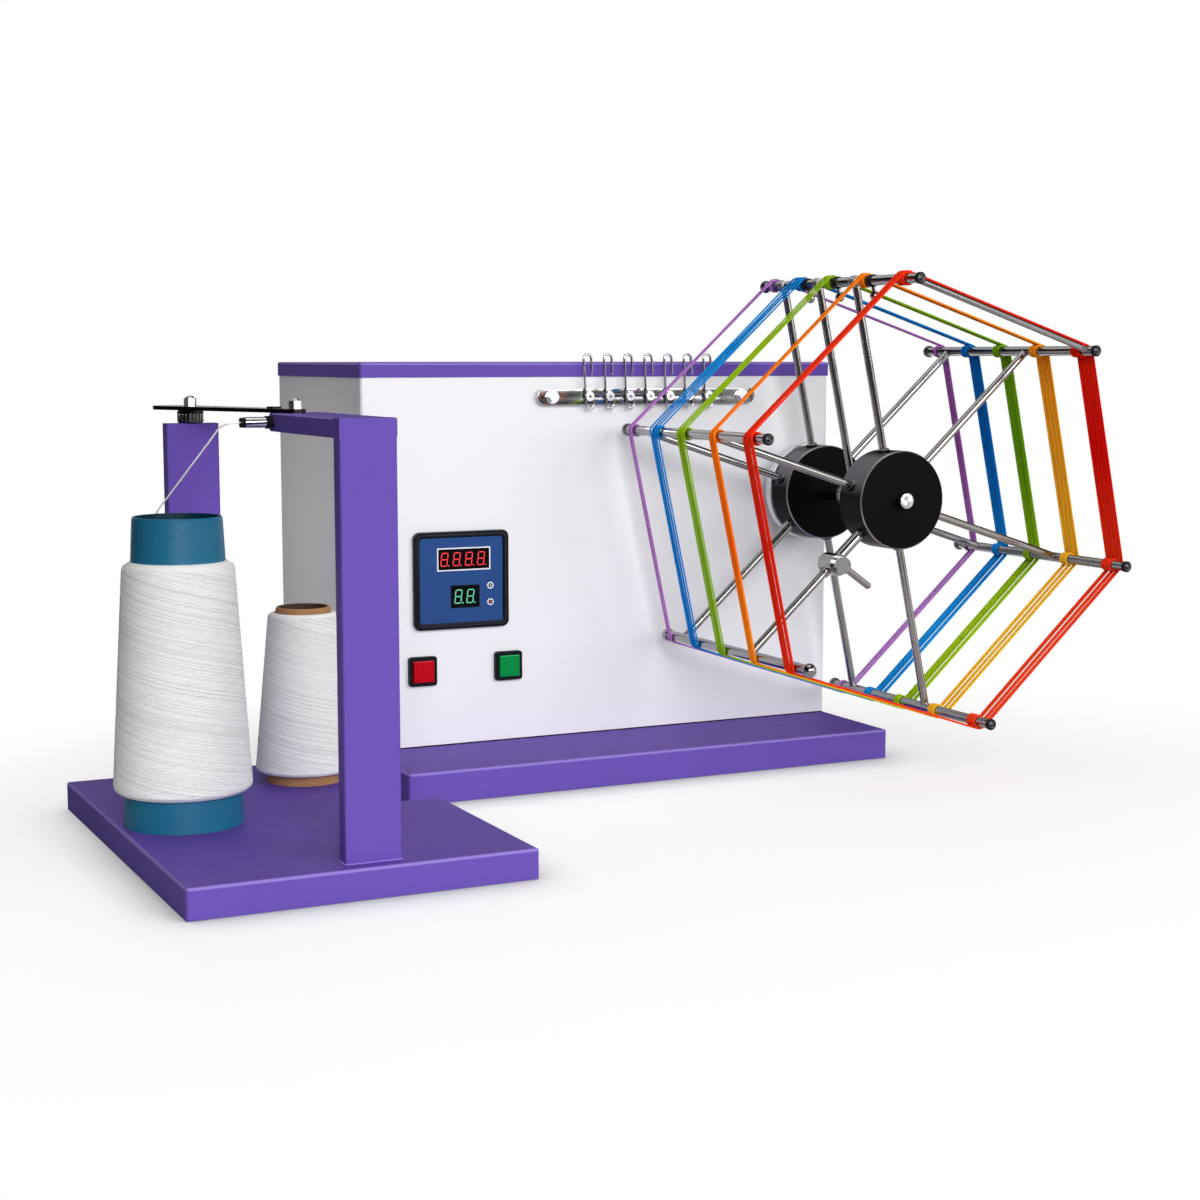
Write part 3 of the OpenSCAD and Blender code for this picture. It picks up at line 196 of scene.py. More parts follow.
# Bare metal: drawn along one direction, with faint handling marks
def metal(name, color, rough, stretch=(1, 1, 1), scale=1600, uneven=0.05):
    mat = plain(name, rough, 1.0)
    c = linear(*color)
    tint(mat, noise(mat, 25, 5), shade(c, 0.88), shade(c, 1.1))
    lines = noise(mat, scale, 3, stretch)
    spread(mat, lines, "Roughness", max(rough - uneven, 0.05), rough + uneven)
    relief(mat, lines, strength=0.02, depth=0.00001)
    return mat


# Spun yarn: fibres, soft shine, small shifts of colour
def yarn(name, color, dark, bump, fibre=2600, lie=(1, 1, 1)):
    mat = plain(name, 0.85, Sheen_Weight=0.04, Sheen_Roughness=0.5, Specular_IOR_Level=0.15)
    c = linear(*color)
    tint(mat, noise(mat, 380, 4, lie), shade(c, dark), shade(c, 1.06), 0.25, 0.75)
    relief(mat, noise(mat, fibre, 4, rough=0.65), bump, 0.00015)
    return mat


# Shade of each strand, from the number that its mesh carries; a mesh without one takes the first shade
def by_strand(mat, first, last):
    base = shader_of(mat).inputs["Base Color"]
    strand = add(mat, "ShaderNodeAttribute", attribute_name="strand")
    level = ranged(mat, strand.outputs["Fac"], 0, 1, first, last)
    links = {0: base.links[0].from_socket, "Scale": level}
    shaded = add(mat, "ShaderNodeVectorMath", links=links, operation="SCALE")
    mat.node_tree.links.new(shaded.outputs[0], base)


# Dyed yarn of the hanks, with painted light: a lighter tone over the dyed colour on each run by its place
# round the reel, and a shade for each strand
def dyed_yarn_lit_by_run(name, deep, light, shares):
    mat = yarn(name, deep, 0.9, 0.06)
    shader_of(mat).inputs["Specular IOR Level"].default_value = 0.0
    place = place_of(mat)
    angle = calc(mat, "ARCTAN2", calc(mat, "SUBTRACT", place["Z"], AXIS_Z * MM), place["X"])
    turn = ranged(mat, angle, -math.pi, math.pi)
    run_light_ramp = add(mat, "ShaderNodeValToRGB", links={"Fac": turn})
    steps = run_light_ramp.color_ramp.elements
    middles = sorted((((TOP_BAR - 60 * k - 30 + 180) % 360) / 360, share) for k, share in enumerate(shares))
    (first, low), (last, high) = middles[0], middles[-1]
    seam = high + (low - high) * (1 - last) / (1 - last + first)
    for end in steps:
        end.color = (seam, seam, seam, 1)
    for where, share in middles:
        steps.new(where).color = (share, share, share, 1)
    # Painted light: the lighter tone laid over the runs that face the light
    cover(mat, run_light_ramp.outputs["Color"], light)
    by_strand(mat, 0.9, 1.2)
    return mat


# Painted highlight: a lighter colour on the eased edges that look up, where light catches them
def painted_edge_highlight(mat, color):
    edge = add(mat, "ShaderNodeValToRGB", links={"Fac": facing(mat)["Z"]})
    steps = edge.color_ramp.elements
    steps[0].position, steps[0].color = 0.12, (0, 0, 0, 1)
    steps[1].position, steps[1].color = 0.97, (0, 0, 0, 1)
    for place in (0.4, 0.85):
        steps.new(place).color = (1, 1, 1, 1)
    cover(mat, edge.outputs["Color"], color)


# Painted shade inside a tube: a darker colour where the face looks at the axis
def painted_inner_shade(mat, at, color):
    place = add(mat, "ShaderNodeTexCoord").outputs["Object"]
    normal = add(mat, "ShaderNodeNewGeometry").outputs["Normal"]
    axis = (at[0] * MM, at[1] * MM, 0)
    out = add(mat, "ShaderNodeVectorMath", {1: axis}, {0: place}, operation="SUBTRACT").outputs[0]
    along = add(mat, "ShaderNodeVectorMath", links={0: out, 1: normal}, operation="DOT_PRODUCT")
    inner_shade_mask = ranged(mat, along.outputs["Value"], -0.015, -0.002, 1.0, 0.0)
    cover(mat, inner_shade_mask, color)


purple = coated("purple_paint", (105, 80, 173), 0.52, depth=0.00008, drift=0.035, Specular_IOR_Level=0.07)
# Painted highlight colour on the purple's upward edges
painted_edge_highlight(purple, (146, 124, 204))
white = coated("white_paint", (240, 240, 243), 0.5, skin=800, depth=0.00005, drift=0.01,
               Specular_IOR_Level=0.2)
black = coated("black_plastic", (13, 14, 20), 0.4, skin=2200, depth=0.00003, drift=0.15,
               Specular_IOR_Level=0.12)
# Painted highlight colour on the black plastic's upward edges
painted_edge_highlight(black, (52, 54, 66))
# Lighter grey: a painted highlight on the counter rim's ridge
rim_highlight_grey = coated("rim_highlight_grey", (34, 36, 46), 0.35, skin=2200, depth=0.00003, drift=0.1,
                    Specular_IOR_Level=0.3)
rubber = rubber_coat("black_rubber", 0.5)
grey = coated("grey_plastic", (158, 158, 156), 0.5, skin=1500)
motor_grey = coated("motor_grey", (84, 85, 90), 0.45)
hub_black = coated("hub_black", (7, 7, 10), 0.36, skin=1200, depth=0.00002, drift=0.12, uneven=0.05,
                   Specular_IOR_Level=0.05)
# Painted highlight colour on the hubs' upward edges
painted_edge_highlight(hub_black, (120, 120, 126))
blue = coated("blue_film", (40, 75, 134), 0.5, skin=3000, depth=0.00002, drift=0.03, Specular_IOR_Level=0.1)
window = coated("window", (7, 6, 8), 0.14, skin=300, depth=0.00001, drift=0.1, uneven=0.03,
                Specular_IOR_Level=0.3)
red_cap = coated("red_cap", (188, 3, 22), 0.26, depth=0.00001, uneven=0.04, Specular_IOR_Level=0.1)
green_cap = coated("green_cap", (0, 138, 66), 0.26, depth=0.00001, uneven=0.04, Specular_IOR_Level=0.1)
# Painted highlight colours on the buttons' upward edges
painted_edge_highlight(red_cap, (236, 84, 92))
painted_edge_highlight(green_cap, (64, 196, 120))
key_grey = coated("key_grey", (236, 239, 246), 0.35)
teal = coated("teal_tube", (26, 108, 142), 0.4, skin=620, depth=0.0005, drift=0.1, strength=0.8,
              Specular_IOR_Level=0.3)
# Painted shade inside the teal tube
painted_inner_shade(teal, LARGE_AT, (9, 48, 66))
steel = metal("bright_steel", (170, 169, 168), 0.13)
steel_y = metal("drawn_steel", (158, 157, 157), 0.12, (1, 0.03, 1), 900)
chrome = metal("chrome", (208, 208, 210), 0.08, uneven=0.03)
dark_steel = metal("dark_steel", (72, 72, 76), 0.2)
satin = metal("satin_steel", (214, 214, 217), 0.3)
edge_steel = metal("edge_steel", (176, 176, 180), 0.34)
light_metal = metal("light_metal", (222, 223, 228), 0.38, (1, 0.05, 1), 700)
white_yarn = yarn("white_yarn", (251, 250, 248), 0.97, 0.3, 1500, (0.4, 0.4, 2.2))
by_strand(white_yarn, 1.0, 0.82)


# Paper tube: long fibres, with painted shade inside
def paper():
    mat = plain("brown_paper", 0.8)
    c = linear(176, 128, 84)
    tint(mat, noise(mat, 220, 5, (1, 1, 6)), shade(c, 0.72), shade(c, 1.15), 0.25, 0.75)
    relief(mat, noise(mat, 700, 4, (1, 1, 5)), 0.5, 0.0001)
    painted_inner_shade(mat, SMALL_AT, (70, 46, 30))
    return mat


# Guide plate: dark steel at the edge, with a lighter colour on the faces that look up, a painted highlight
def plate_steel_lit_top():
    mat = metal("plate_steel_lit_top", (46, 46, 50), 0.24)
    # Painted highlight: lighter colour where the face looks up
    cover(mat, ranged(mat, facing(mat)["Z"], 0.75, 0.95), (196, 196, 202))
    return mat


# End caps: rubber in front, turned steel at the back
def cap_black():
    mat = rubber_coat("cap_black", 0.4)
    rear = calc(mat, "GREATER_THAN", place_of(mat)["Y"], -150 * MM)
    cover(mat, rear, (120, 120, 124))
    mat.node_tree.links.new(rear, shader_of(mat).inputs["Metallic"])
    return mat


# Collars of the first crossbar: black where a stud passes, bright at the spokes
def collar_finish():
    mat = rubber_coat("collar_black", 0.4)
    along = place_of(mat)["Y"]
    first, second, stay = [calc(mat, "COMPARE", along, y * MM, 8 * MM) for y in (*HUB_PLANES, STAY_PLANE)]
    bright = calc(mat, "MAXIMUM", calc(mat, "MAXIMUM", first, second), stay)
    cover(mat, bright, (190, 190, 192))
    mat.node_tree.links.new(bright, shader_of(mat).inputs["Metallic"])
    return mat


LOOKS = {
    purple: ["base_board", "creel_board", "front_post", "rear_post", "cabinet_lid"],
    white: ["cabinet_shell", "rear_panel"],
    black: ["power_inlet", "counter_bezel", "counter_housing", "button_bezels"],
    rubber: ["tube_rings", "drive_belt"],
    grey: ["switch_bodies", "count_sensor"],
    motor_grey: ["drive_motor"],
    hub_black: ["rear_hub", "front_hub"],
    blue: ["counter_face"],
    window: ["display_windows"],
    red_cap: ["stop_button"],
    green_cap: ["start_button"],
    key_grey: ["key_up", "key_down"],
    teal: ["large_cone"],
    steel: ["rear_screws", "cone_pegs", "motor_bracket", "housing_nut", "shaft_bearings", "spokes",
            "centre_stay", "arm_sleeves", "arm_rods", "clamp_lever", "yarn_studs"],
    steel_y: ["reel_shaft", "crossbars", "arm_bar"],
    chrome: ["pigtail_guides", "guide_tube", "guide_bar"],
    satin: ["guide_fasteners", "cap_nuts"],
    dark_steel: ["post_spacer"],
    light_metal: ["bearing_housing", "reel_pulley", "motor_pulley"],
    collar_finish(): ["bar_collars"],
    plate_steel_lit_top(): ["guide_plate"],
    cap_black(): ["bar_caps"],
    paper(): ["small_cone"],
}
for mat, names in LOOKS.items():
    for n in names:
        nodes[n].data.materials.clear()
        nodes[n].data.materials.append(mat)


# Softens the sharp edges of a rigid piece without changing its mesh
def soften(name, width):
    o = nodes[name]
    weld = o.modifiers.new("weld", "WELD")
    weld.merge_threshold = 0.000002
    bevel = o.modifiers.new("bevel", "BEVEL")
    bevel.width, bevel.segments, bevel.limit_method = width, 3, "ANGLE"
    bevel.angle_limit = math.radians(35)
    bevel.use_clamp_overlap = True
    even = o.modifiers.new("even", "WEIGHTED_NORMAL")
    even.keep_sharp = False


# Pieces made here, from a shape of vertices and faces
def piece(name, shape, mat, body=None, smooth=True):
    verts, faces = shape
    mesh = bpy.data.meshes.new(name)
    mesh.from_pydata([tuple(v) for v in verts], [], faces)
    mesh.polygons.foreach_set("use_smooth", [smooth] * len(mesh.polygons))
    mesh.materials.append(mat)
    mesh.update()
    o = bpy.data.objects.new(name, mesh)
    scene.collection.objects.link(o)
    if body:
        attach(o, body)
    return o


def sweep(paths, radius, sides):
    verts, faces = [], []
    for path in paths:
        pts = [Vector(p) for p in path]
        n = len(pts)
        u = (pts[1] - pts[0]).orthogonal().normalized()
        start = len(verts)
        for i, p in enumerate(pts):
            t = (pts[min(i + 1, n - 1)] - pts[max(i - 1, 0)]).normalized()
            u = (u - t * u.dot(t)).normalized()
            v = t.cross(u)
            for s in range(sides):
                a = TAU * s / sides
                verts.append(p + radius * (math.cos(a) * u + math.sin(a) * v))
        for i in range(n - 1):
            for s in range(sides):
                a, b = start + i * sides + s, start + i * sides + (s + 1) % sides
                faces.append((a, b, b + sides, a + sides))
        faces.append(tuple(start + s for s in reversed(range(sides))))
        faces.append(tuple(start + (n - 1) * sides + s for s in range(sides)))
    return verts, faces


def lathe(profile, steps, place):
    verts, faces = [], []
    for r, z in profile:
        for s in range(steps):
            a = TAU * s / steps
            verts.append(place(r * math.cos(a), r * math.sin(a), z))
    for i in range(len(profile) - 1):
        for s in range(steps):
            a, b = i * steps + s, i * steps + (s + 1) % steps
            faces.append((a, b, b + steps, a + steps))
    return verts, faces


# Feed yarn, on the same route as its solid
FEED_THICK = 1.5
NOSE, FEED_END = Vector((*LARGE_AT, 293)), Vector((-686.5, -238, 373))
FEED_START = [(-9, 46, -43), (-9, 44, -27), (-8, 41, -13), (-8, 40, -2), (-7, 35, 4)]
FEED_SHARE = [(0.081, 0.104, 0.114), (0.175, 0.226, 0.246), (0.283, 0.365, 0.398), (0.39, 0.505, 0.549),
              (0.498, 0.644, 0.701), (0.592, 0.766, 0.833), (0.673, 0.87, 0.947), (0.766, 0.971, 0.987),
              (0.879, 1, 1), (1, 1, 1)]


def smooth_route(points, steps):
    p = [Vector(q) * MM for q in points]
    last = len(p) - 1
    out = []
    for i in range(last):
        a, b, c, d = p[max(i - 1, 0)], p[i], p[i + 1], p[min(i + 2, last)]
        for s in range(steps):
            t = s / steps
            out.append(0.5 * (2 * b + (c - a) * t + (2 * a - 5 * b + 4 * c - d) * t * t
                              + (3 * b - a - 3 * c + d) * t * t * t))
    return out + [p[last]]


def feed_yarn():
    start = [NOSE + Vector(p) for p in FEED_START]
    way = FEED_END - start[-1]
    path = smooth_route(start + [start[-1] + way * Vector(f) for f in FEED_SHARE], 6)
    o = piece("feed_strand", sweep([path], FEED_THICK / 2 * MM, 12), white_yarn, "stand")
    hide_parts("feed_yarn")
    length = sum((b - a).length for a, b in zip(path, path[1:]))
    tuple(path[0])


feed_yarn()


def number_strands(o, shades):
    o.data.attributes.new("strand", "FLOAT", "POINT").data.foreach_set("value", shades)


# Cross wound packages: a soft core and one yarn that runs up and down it
CORE_SIDES, WINDING_SIDES, STEPS_PER_TURN = 144, 6, 60
# Just below one, so that the yarn turns back in a curve at the ends
TURN_BACK = 0.9985
# Added to the turns of a run, so that runs do not lie on each other
ODD_PART = 0.3819


def package(name, node, at, z0, z1, r0, r1, hole0, hole1, ease, runs, turns, thick):
    def place(x, y, z):
        return Vector((at[0] + x, at[1] + y, z)) * MM

    def radius(z):
        return r0 + (r1 - r0) * (z - z0) / (z1 - z0)
    sink = thick * 0.45
    quarter = [math.radians(9 * i) for i in range(11)]
    levels = [z0 + ease + (z1 - z0 - 2 * ease) * i / 40 for i in range(1, 40)]
    profile = [(hole0, z0 + 1.0)]
    profile += [(r0 - ease + ease * math.sin(a) - sink, z0 + ease * (1 - math.cos(a))) for a in quarter]
    profile += [(radius(z) - sink, z) for z in levels]
    profile += [(r1 - ease + ease * math.sin(a) - sink, z1 - ease * (1 - math.cos(a))) for a in quarter[::-1]]
    profile += [(hole1, z1 - 1.0)]
    core = piece(name + "_core", lathe(profile, CORE_SIDES, place), white_yarn, "stand")
    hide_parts(node)
    mid, half = (z0 + z1) / 2, (z1 - z0) / 2 - ease * 0.08
    per_run = int(turns * STEPS_PER_TURN)
    path = []
    for i in range(runs * per_run):
        x = i / per_run
        run = int(x)
        z = mid + half * (2 / math.pi * math.asin(TURN_BACK * math.sin(math.pi * (x - 0.5))))
        edge = max(0, abs(z - mid) - ((z1 - z0) / 2 - ease))
        flat = 1 - edge / ease
        r = radius(z) - ease + math.sqrt(max(ease * ease - edge * edge, 0)) - sink * 0.35
        ripple = 0.12 * math.sin(0.37 * i) * math.sin(0.11 * i)
        proud = 0.3 * thick * flat if run % 2 else 0
        stray = 0.3 * math.sin(2.4 * run + 0.013 * i)
        r += ripple + proud
        z += stray * flat
        a = TAU * turns * x
        path.append(place(r * math.cos(a), r * math.sin(a), z))
    winding = sweep([path], thick / 2 * MM, WINDING_SIDES)
    wound = piece(name + "_winding", winding, white_yarn, "stand")
    half_turns = [random.random() ** 2 for _ in range(int(2 * turns * runs) + 1)]
    shades = []
    for i in range(len(path)):
        shades += [half_turns[int(2 * turns * i / per_run)]] * WINDING_SIDES
    number_strands(wound, shades)


package("large_package", "large_yarn", LARGE_AT, z0=54, z1=255, r0=59.5, r1=47, hole0=50.5, hole1=40.2,
        ease=8, runs=130, turns=2.2 + ODD_PART, thick=1.1)
package("small_package", "small_yarn", SMALL_AT, z0=36, z1=188, r0=47, r1=32.5, hole0=36.8, hole1=26.8,
        ease=4, runs=104, turns=2.0 + ODD_PART, thick=1.0)


# Hanks: each one yarn laid in turns round the six bars, with a short wrap on every fixed bar
STRAND, STRAND_SIDES = 1.4, 10
# Radius at which yarn clears a bar, and half the angle through which it bends there
CLEAR, BEND = BAR_R + 0.2, 30
# Points where a strand bends round a bar, steps across to the next bar, steps in a turn of a wrap
BEND_POINTS, SPAN_STEPS, WRAP_STEPS = 7, 8, 20
# Radii between which a hank would go over from the reel to the folding arm; the two points are worked out but
# not used
BLEND_RADII = (122, 222)
# Share of the lighter tone in each run from the top bar on: painted light on each run
RUN_LIGHT_SHARES = (0.4, 0.08, 1.0, 0.7, 0.4, 0.9)


# Places of a hank's strands in one run: bands side by side, strands close or on each other in each band
def strand_places(count, bands, pitch, width):
    out = []
    for i in range(count):
        band = i * bands // count
        first, after = -(-band * count // bands), -(-(band + 1) * count // bands)
        step = (width - STRAND) / max(1, after - first - 1)
        out.append((band - (bands - 1) / 2) * pitch + (i - (first + after - 1) / 2) * step)
    return out


def hank(name, node, mat, y, count, wrap, runs):
    sides = [strand_places(count, *run) for run in runs]
    path, places = [], []

    def corner(k, a, lift, side):
        return Vector((REEL_R * math.cos(bar_angle(k)) + lift * math.cos(a), -y - side,
                       AXIS_Z + REEL_R * math.sin(bar_angle(k)) + lift * math.sin(a))) * MM
    for c in range(count):
        for k in range(6):
            layer = 0.5 + 0.12 * (c * 2 % 5) + (0.6 if k in FIXED_BARS else 0)
            stray = random.uniform(-0.08, 0.08)
            places.append((k, CLEAR + STRAND * layer, sides[(k + 5) % 6][c] + stray, sides[k][c] + stray))
    for i, (k, lift, side, side_out) in enumerate(places):
        a = bar_angle(k)
        for j in range(BEND_POINTS):
            share = j / (BEND_POINTS - 1)
            turn = math.radians(BEND - 2 * BEND * share)
            path.append(corner(k, a + turn, lift, side + (side_out - side) * share))
        if i + 1 == len(places):
            break
        k1, lift1, side1, _ = places[i + 1]
        here, there = path[-1], corner(k1, bar_angle(k1) + math.radians(BEND), lift1, side1)
        middle = a - math.radians(BEND)
        out = Vector((math.cos(middle), 0, math.sin(middle)))
        sag = random.uniform(-0.2, 0.2) * MM
        for j in range(1, SPAN_STEPS):
            share = j / SPAN_STEPS
            path.append(here.lerp(there, share) + out * sag * math.sin(math.pi * share))
    turns = round(wrap / STRAND)
    wraps = []
    for k in FIXED_BARS:
        shares = [j / WRAP_STEPS for j in range(turns * WRAP_STEPS + 1)]
        wraps.append([corner(k, TAU * s, CLEAR + STRAND / 2, STRAND * (s - turns / 2)) for s in shares])
    o = piece(name, sweep([path] + wraps, STRAND / 2 * MM, STRAND_SIDES), mat)
    per_turn = 6 * (BEND_POINTS + SPAN_STEPS - 1)
    shades = []
    for i in range(len(path)):
        shades += [(0.3 + 0.618 * (i // per_turn)) % 1] * STRAND_SIDES
    shades += [0.45] * (len(o.data.vertices) - len(shades))
    number_strands(o, shades)
    a = bar_angle(FOLDING_BAR)
    start, end = [Vector((r * math.cos(a), 0, AXIS_Z + r * math.sin(a))) * MM for r in BLEND_RADII]
    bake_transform(o)
    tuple(start)
    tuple(end)
    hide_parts(node)


# Each run from the top bar on: number of bands, their pitch and the width of one in mm
hank("hank_violet_wound", "hank_violet", dyed_yarn_lit_by_run("violet_yarn", (156, 86, 164), (188, 132, 208), RUN_LIGHT_SHARES),
     y=41, count=8, wrap=4.5,
     runs=((1, 0, 5), (1, 0, 11), (2, 5.5, 4.4), (1, 0, 5), (2, 5, 2.4), (2, 4.6, 1.6)))
hank("hank_blue_wound", "hank_blue", dyed_yarn_lit_by_run("blue_yarn", (4, 98, 186), (28, 150, 226), RUN_LIGHT_SHARES),
     y=95, count=13, wrap=10,
     runs=((1, 0, 9), (1, 0, 18), (3, 7.2, 5.4), (1, 0, 9), (4, 5, 2.5), (4, 7, 1.6)))
hank("hank_green_wound", "hank_green", dyed_yarn_lit_by_run("green_yarn", (92, 154, 18), (168, 204, 30), RUN_LIGHT_SHARES),
     y=151, count=13, wrap=10,
     runs=((1, 0, 9), (1, 0, 18), (3, 7.2, 5.4), (1, 0, 9), (4, 4.7, 2.4), (3, 5.8, 1.7)))
# Orange and red take their own shares of painted light
hank("hank_orange_wound", "hank_orange",
     dyed_yarn_lit_by_run("orange_yarn", (252, 106, 14), (252, 200, 48), (0.2, 0.65, 1.0, 0.6, 0.0, 0.2)),
     y=214, count=16, wrap=11,
     runs=((1, 0, 10), (1, 0, 22), (3, 7.6, 5.6), (1, 0, 10), (3, 4.4, 3), (2, 5.2, 2)))
hank("hank_red_wound", "hank_red",
     dyed_yarn_lit_by_run("red_yarn", (236, 12, 8), (252, 84, 40), (0.3, 0.0, 0.8, 0.6, 0.15, 0.45)),
     y=282, count=19, wrap=14,
     runs=((1, 0, 14), (1, 0, 26), (3, 7.6, 5.6), (1, 0, 14), (3, 6.5, 5.5), (3, 5, 2)))


# Softened edges of the rigid pieces, widths in mm
SOFT_EDGES = {"front_post": 1.2, "rear_post": 1.2, "guide_plate": 0.4, "guide_bar": 0.5, "counter_bezel": 2.0,
              "button_bezels": 1.2, "stop_button": 1.2, "start_button": 1.2, "post_spacer": 0.5,
              "cap_nuts": 0.3, "guide_fasteners": 0.3, "bearing_housing": 0.8}
for name, width in SOFT_EDGES.items():
    soften(name, width * MM)


# Flat shapes on a front: outlines in X and Z, given in mm, with a thickness towards the viewer
def raised(name, outlines, y, thick, mat, body):
    verts, faces = [], []
    for line in outlines:
        n, b = len(line), len(verts)
        verts += [Vector((x, y, z)) * MM for x, z in line] + [Vector((x, y - thick, z)) * MM for x, z in line]
        faces.append(tuple(b + n + i for i in range(n)))
        faces += [(b + i, b + (i + 1) % n, b + n + (i + 1) % n, b + n + i) for i in range(n)]
    return piece(name, (verts, faces), mat, body, smooth=False)


def disc(x, z, r, sides):
    return [(x + r * math.cos(TAU * j / sides), z + r * math.sin(TAU * j / sides)) for j in range(sides)]


def glow(name, color, strength):
    mat = plain(name, 0.4)
    c = linear(*color)
    ramp = tint(mat, noise(mat, 900, 2), shade(c, 0.8), c)
    s = shader_of(mat)
    mat.node_tree.links.new(ramp.outputs["Color"], s.inputs["Emission Color"])
    s.inputs["Emission Strength"].default_value = strength
    return mat


# Seven segment figures, all segments lit, with their points
def figures(name, at, count, cell, w, h, t, mat):
    cx, cz = at
    lean = math.tan(math.radians(7))
    segments = ((0, 0, w, 0), (0, h / 2, w, h / 2), (0, h, w, h), (0, 0, 0, h / 2), (0, h / 2, 0, h),
                (w, 0, w, h / 2), (w, h / 2, w, h))
    lines = []

    def bar(x0, z0, x1, z1, ox):
        d = Vector((x1 - x0, z1 - z0)).normalized()
        n = Vector((-d.y, d.x)) * t / 2
        a, b = Vector((x0, z0)) + d * t * 0.25, Vector((x1, z1)) - d * t * 0.25
        pts = [a, a + d * t / 2 + n, b - d * t / 2 + n, b, b - d * t / 2 - n, a + d * t / 2 - n]
        lines.append([(ox + q.x + q.y * lean, cz - h / 2 + q.y) for q in reversed(pts)])
    for i in range(count):
        ox = cx + (i - count / 2) * cell + (cell - w) * 0.2
        for segment in segments:
            bar(*segment, ox)
        lines.append(disc(ox + w + t * 2.2, cz - h / 2 + t * 0.1, t * 0.75, 10))
    raised(name, lines, -4.8, 0.12, mat, "stand")


figures("count_figures", COUNT_WINDOW_AT, count=4, cell=13.4, w=6.8, h=13, t=1.0,
        mat=glow("red_light", (226, 40, 46), 0.8))
figures("set_figures", SET_WINDOW_AT, count=2, cell=13.2, w=6.8, h=13.5, t=1.0,
        mat=glow("green_light", (92, 200, 160), 0.55))


# Thin frames round the display windows
def frame_round(name, at, w, h, t, mat):
    a, b, c, d = at[0] - w / 2, at[0] + w / 2, at[1] - h / 2, at[1] + h / 2
    sides = [[(a - t, c - t), (b + t, c - t), (b, c), (a, c)],
             [(b + t, c - t), (b + t, d + t), (b, d), (b, c)],
             [(b + t, d + t), (a - t, d + t), (a, d), (b, d)],
             [(a - t, d + t), (a - t, c - t), (a, c), (a, d)]]
    raised(name, sides, -4.0, 0.95, mat, "stand")


frame_round("count_frame", COUNT_WINDOW_AT, w=56.1, h=21.1, t=1.25, mat=key_grey)
frame_round("set_frame", SET_WINDOW_AT, w=30.6, h=22.1, t=0.5, mat=black)


# Setting keys: a dark disc with a small arrow on each light key; the arrows carry a faint painted glow
def key_mark(name, z, up, mat, body):
    x = -362.5
    raised(name + "_disc", [disc(x, z, 2.35, 24)], -5.2, 0.06, black, body)
    f = 1 if up else -1
    arrow = [(x - 1.15, z - 0.75 * f), (x + 1.15, z - 0.75 * f), (x, z + 1.15 * f)]
    raised(name + "_arrow", [arrow if up else arrow[::-1]], -5.26, 0.05, mat, body)


# The arrows are printed marks; their faint emission is a painted glow
key_mark("key_up_mark", 195, True, glow("mark_white_glow", (215, 222, 235), 0.15), "up_key")
key_mark("key_down_mark", 178, False, glow("mark_orange_glow", (230, 120, 60), 0.15), "down_key")


# Beads of filler round the posts' feet, and a dark strip under the cabinet that paints the shadow in the gap
# there
def beads():
    lines = []
    for x, y in (FRONT_POST_AT, REAR_POST_AT):
        line = []
        for i, (sx, sy) in enumerate(((-1, -1), (1, -1), (1, 1), (-1, 1))):
            cx, cy = x + sx * 22.5, y + sy * 6.5
            for j in range(7):
                a = math.radians(180 + 90 * i) + math.radians(15 * j)
                line.append(Vector((cx + 1.7 * math.cos(a), cy + 1.7 * math.sin(a), 26.2)) * MM)
        lines.append(line + line[:1])
    piece("post_beads", sweep(lines, 1.1 * MM, 10), purple, "stand")
    # A dark strip painting the shadow line where the cabinet meets the base
    shadow_strip_path = [Vector((x, -0.1, 31.4)) * MM for x in range(-496, 46, 10)]
    piece("cabinet_shadow_strip", sweep([shadow_strip_path], 0.8 * MM, 8), rubber, "stand")


beads()


# Lathe profile placed along any axis
def turned(profile, at, axis, steps):
    turn = Vector((0, 0, 1)).rotation_difference(Vector(axis).normalized()).to_matrix()
    base = Vector(at)

    def place(x, y, z):
        return (base + turn @ Vector((x, y, z))) * MM
    return lathe(profile, steps, place)


def gather(name, parts, mat, body):
    verts, faces = [], []
    for v, f in parts:
        b = len(verts)
        verts += v
        faces += [tuple(b + i for i in face) for face in f]
    piece(name, (verts, faces), mat, body)


TO_FRONT = (0, -1, 0)


# Bushings where the spokes enter the hubs
def bushings():
    profile = [(4.05, 0), (6.2, 0), (6.2, 2.6), (5.6, 3.2), (4.05, 3.2)]
    seat = 49.3
    parts = []
    for k in FIXED_BARS:
        a = bar_angle(k)
        d = (math.cos(a), 0, math.sin(a))
        for y in HUB_PLANES:
            parts.append(turned(profile, (seat * d[0], y, AXIS_Z + seat * d[2]), d, 32))
    gather("spoke_bushings", parts, hub_black, "reel")


bushings()


# Polished line on the hubs' front edges
def hub_lines():
    profile = [(50.03, -1.25), (49.5, -0.55), (48.75, 0.03)]
    parts = [turned(profile, (0, y, AXIS_Z), TO_FRONT, 96) for y in HUB_FRONTS]
    gather("hub_lines", parts, edge_steel, "reel")


hub_lines()


# Faced end of the shaft, with the light fan that turning leaves
def shaft_face():
    mat = plain("faced_steel", 0.28, 1.0, Anisotropic=0.85)
    c = linear(224, 224, 228)
    tint(mat, noise(mat, 60, 4), shade(c, 0.9), c)
    fan = add(mat, "ShaderNodeTangent", direction_type="RADIAL", axis="Y")
    mat.node_tree.links.new(fan.outputs[0], shader_of(mat).inputs["Tangent"])
    profile = [(8.02, -1.6), (8.02, -0.5), (7.4, 0.05), (5.2, 0.12), (2.6, 0.12), (0.02, 0.12)]
    gather("shaft_face", [turned(profile, (0, -225, AXIS_Z), TO_FRONT, 64)], mat, "reel")


shaft_face()


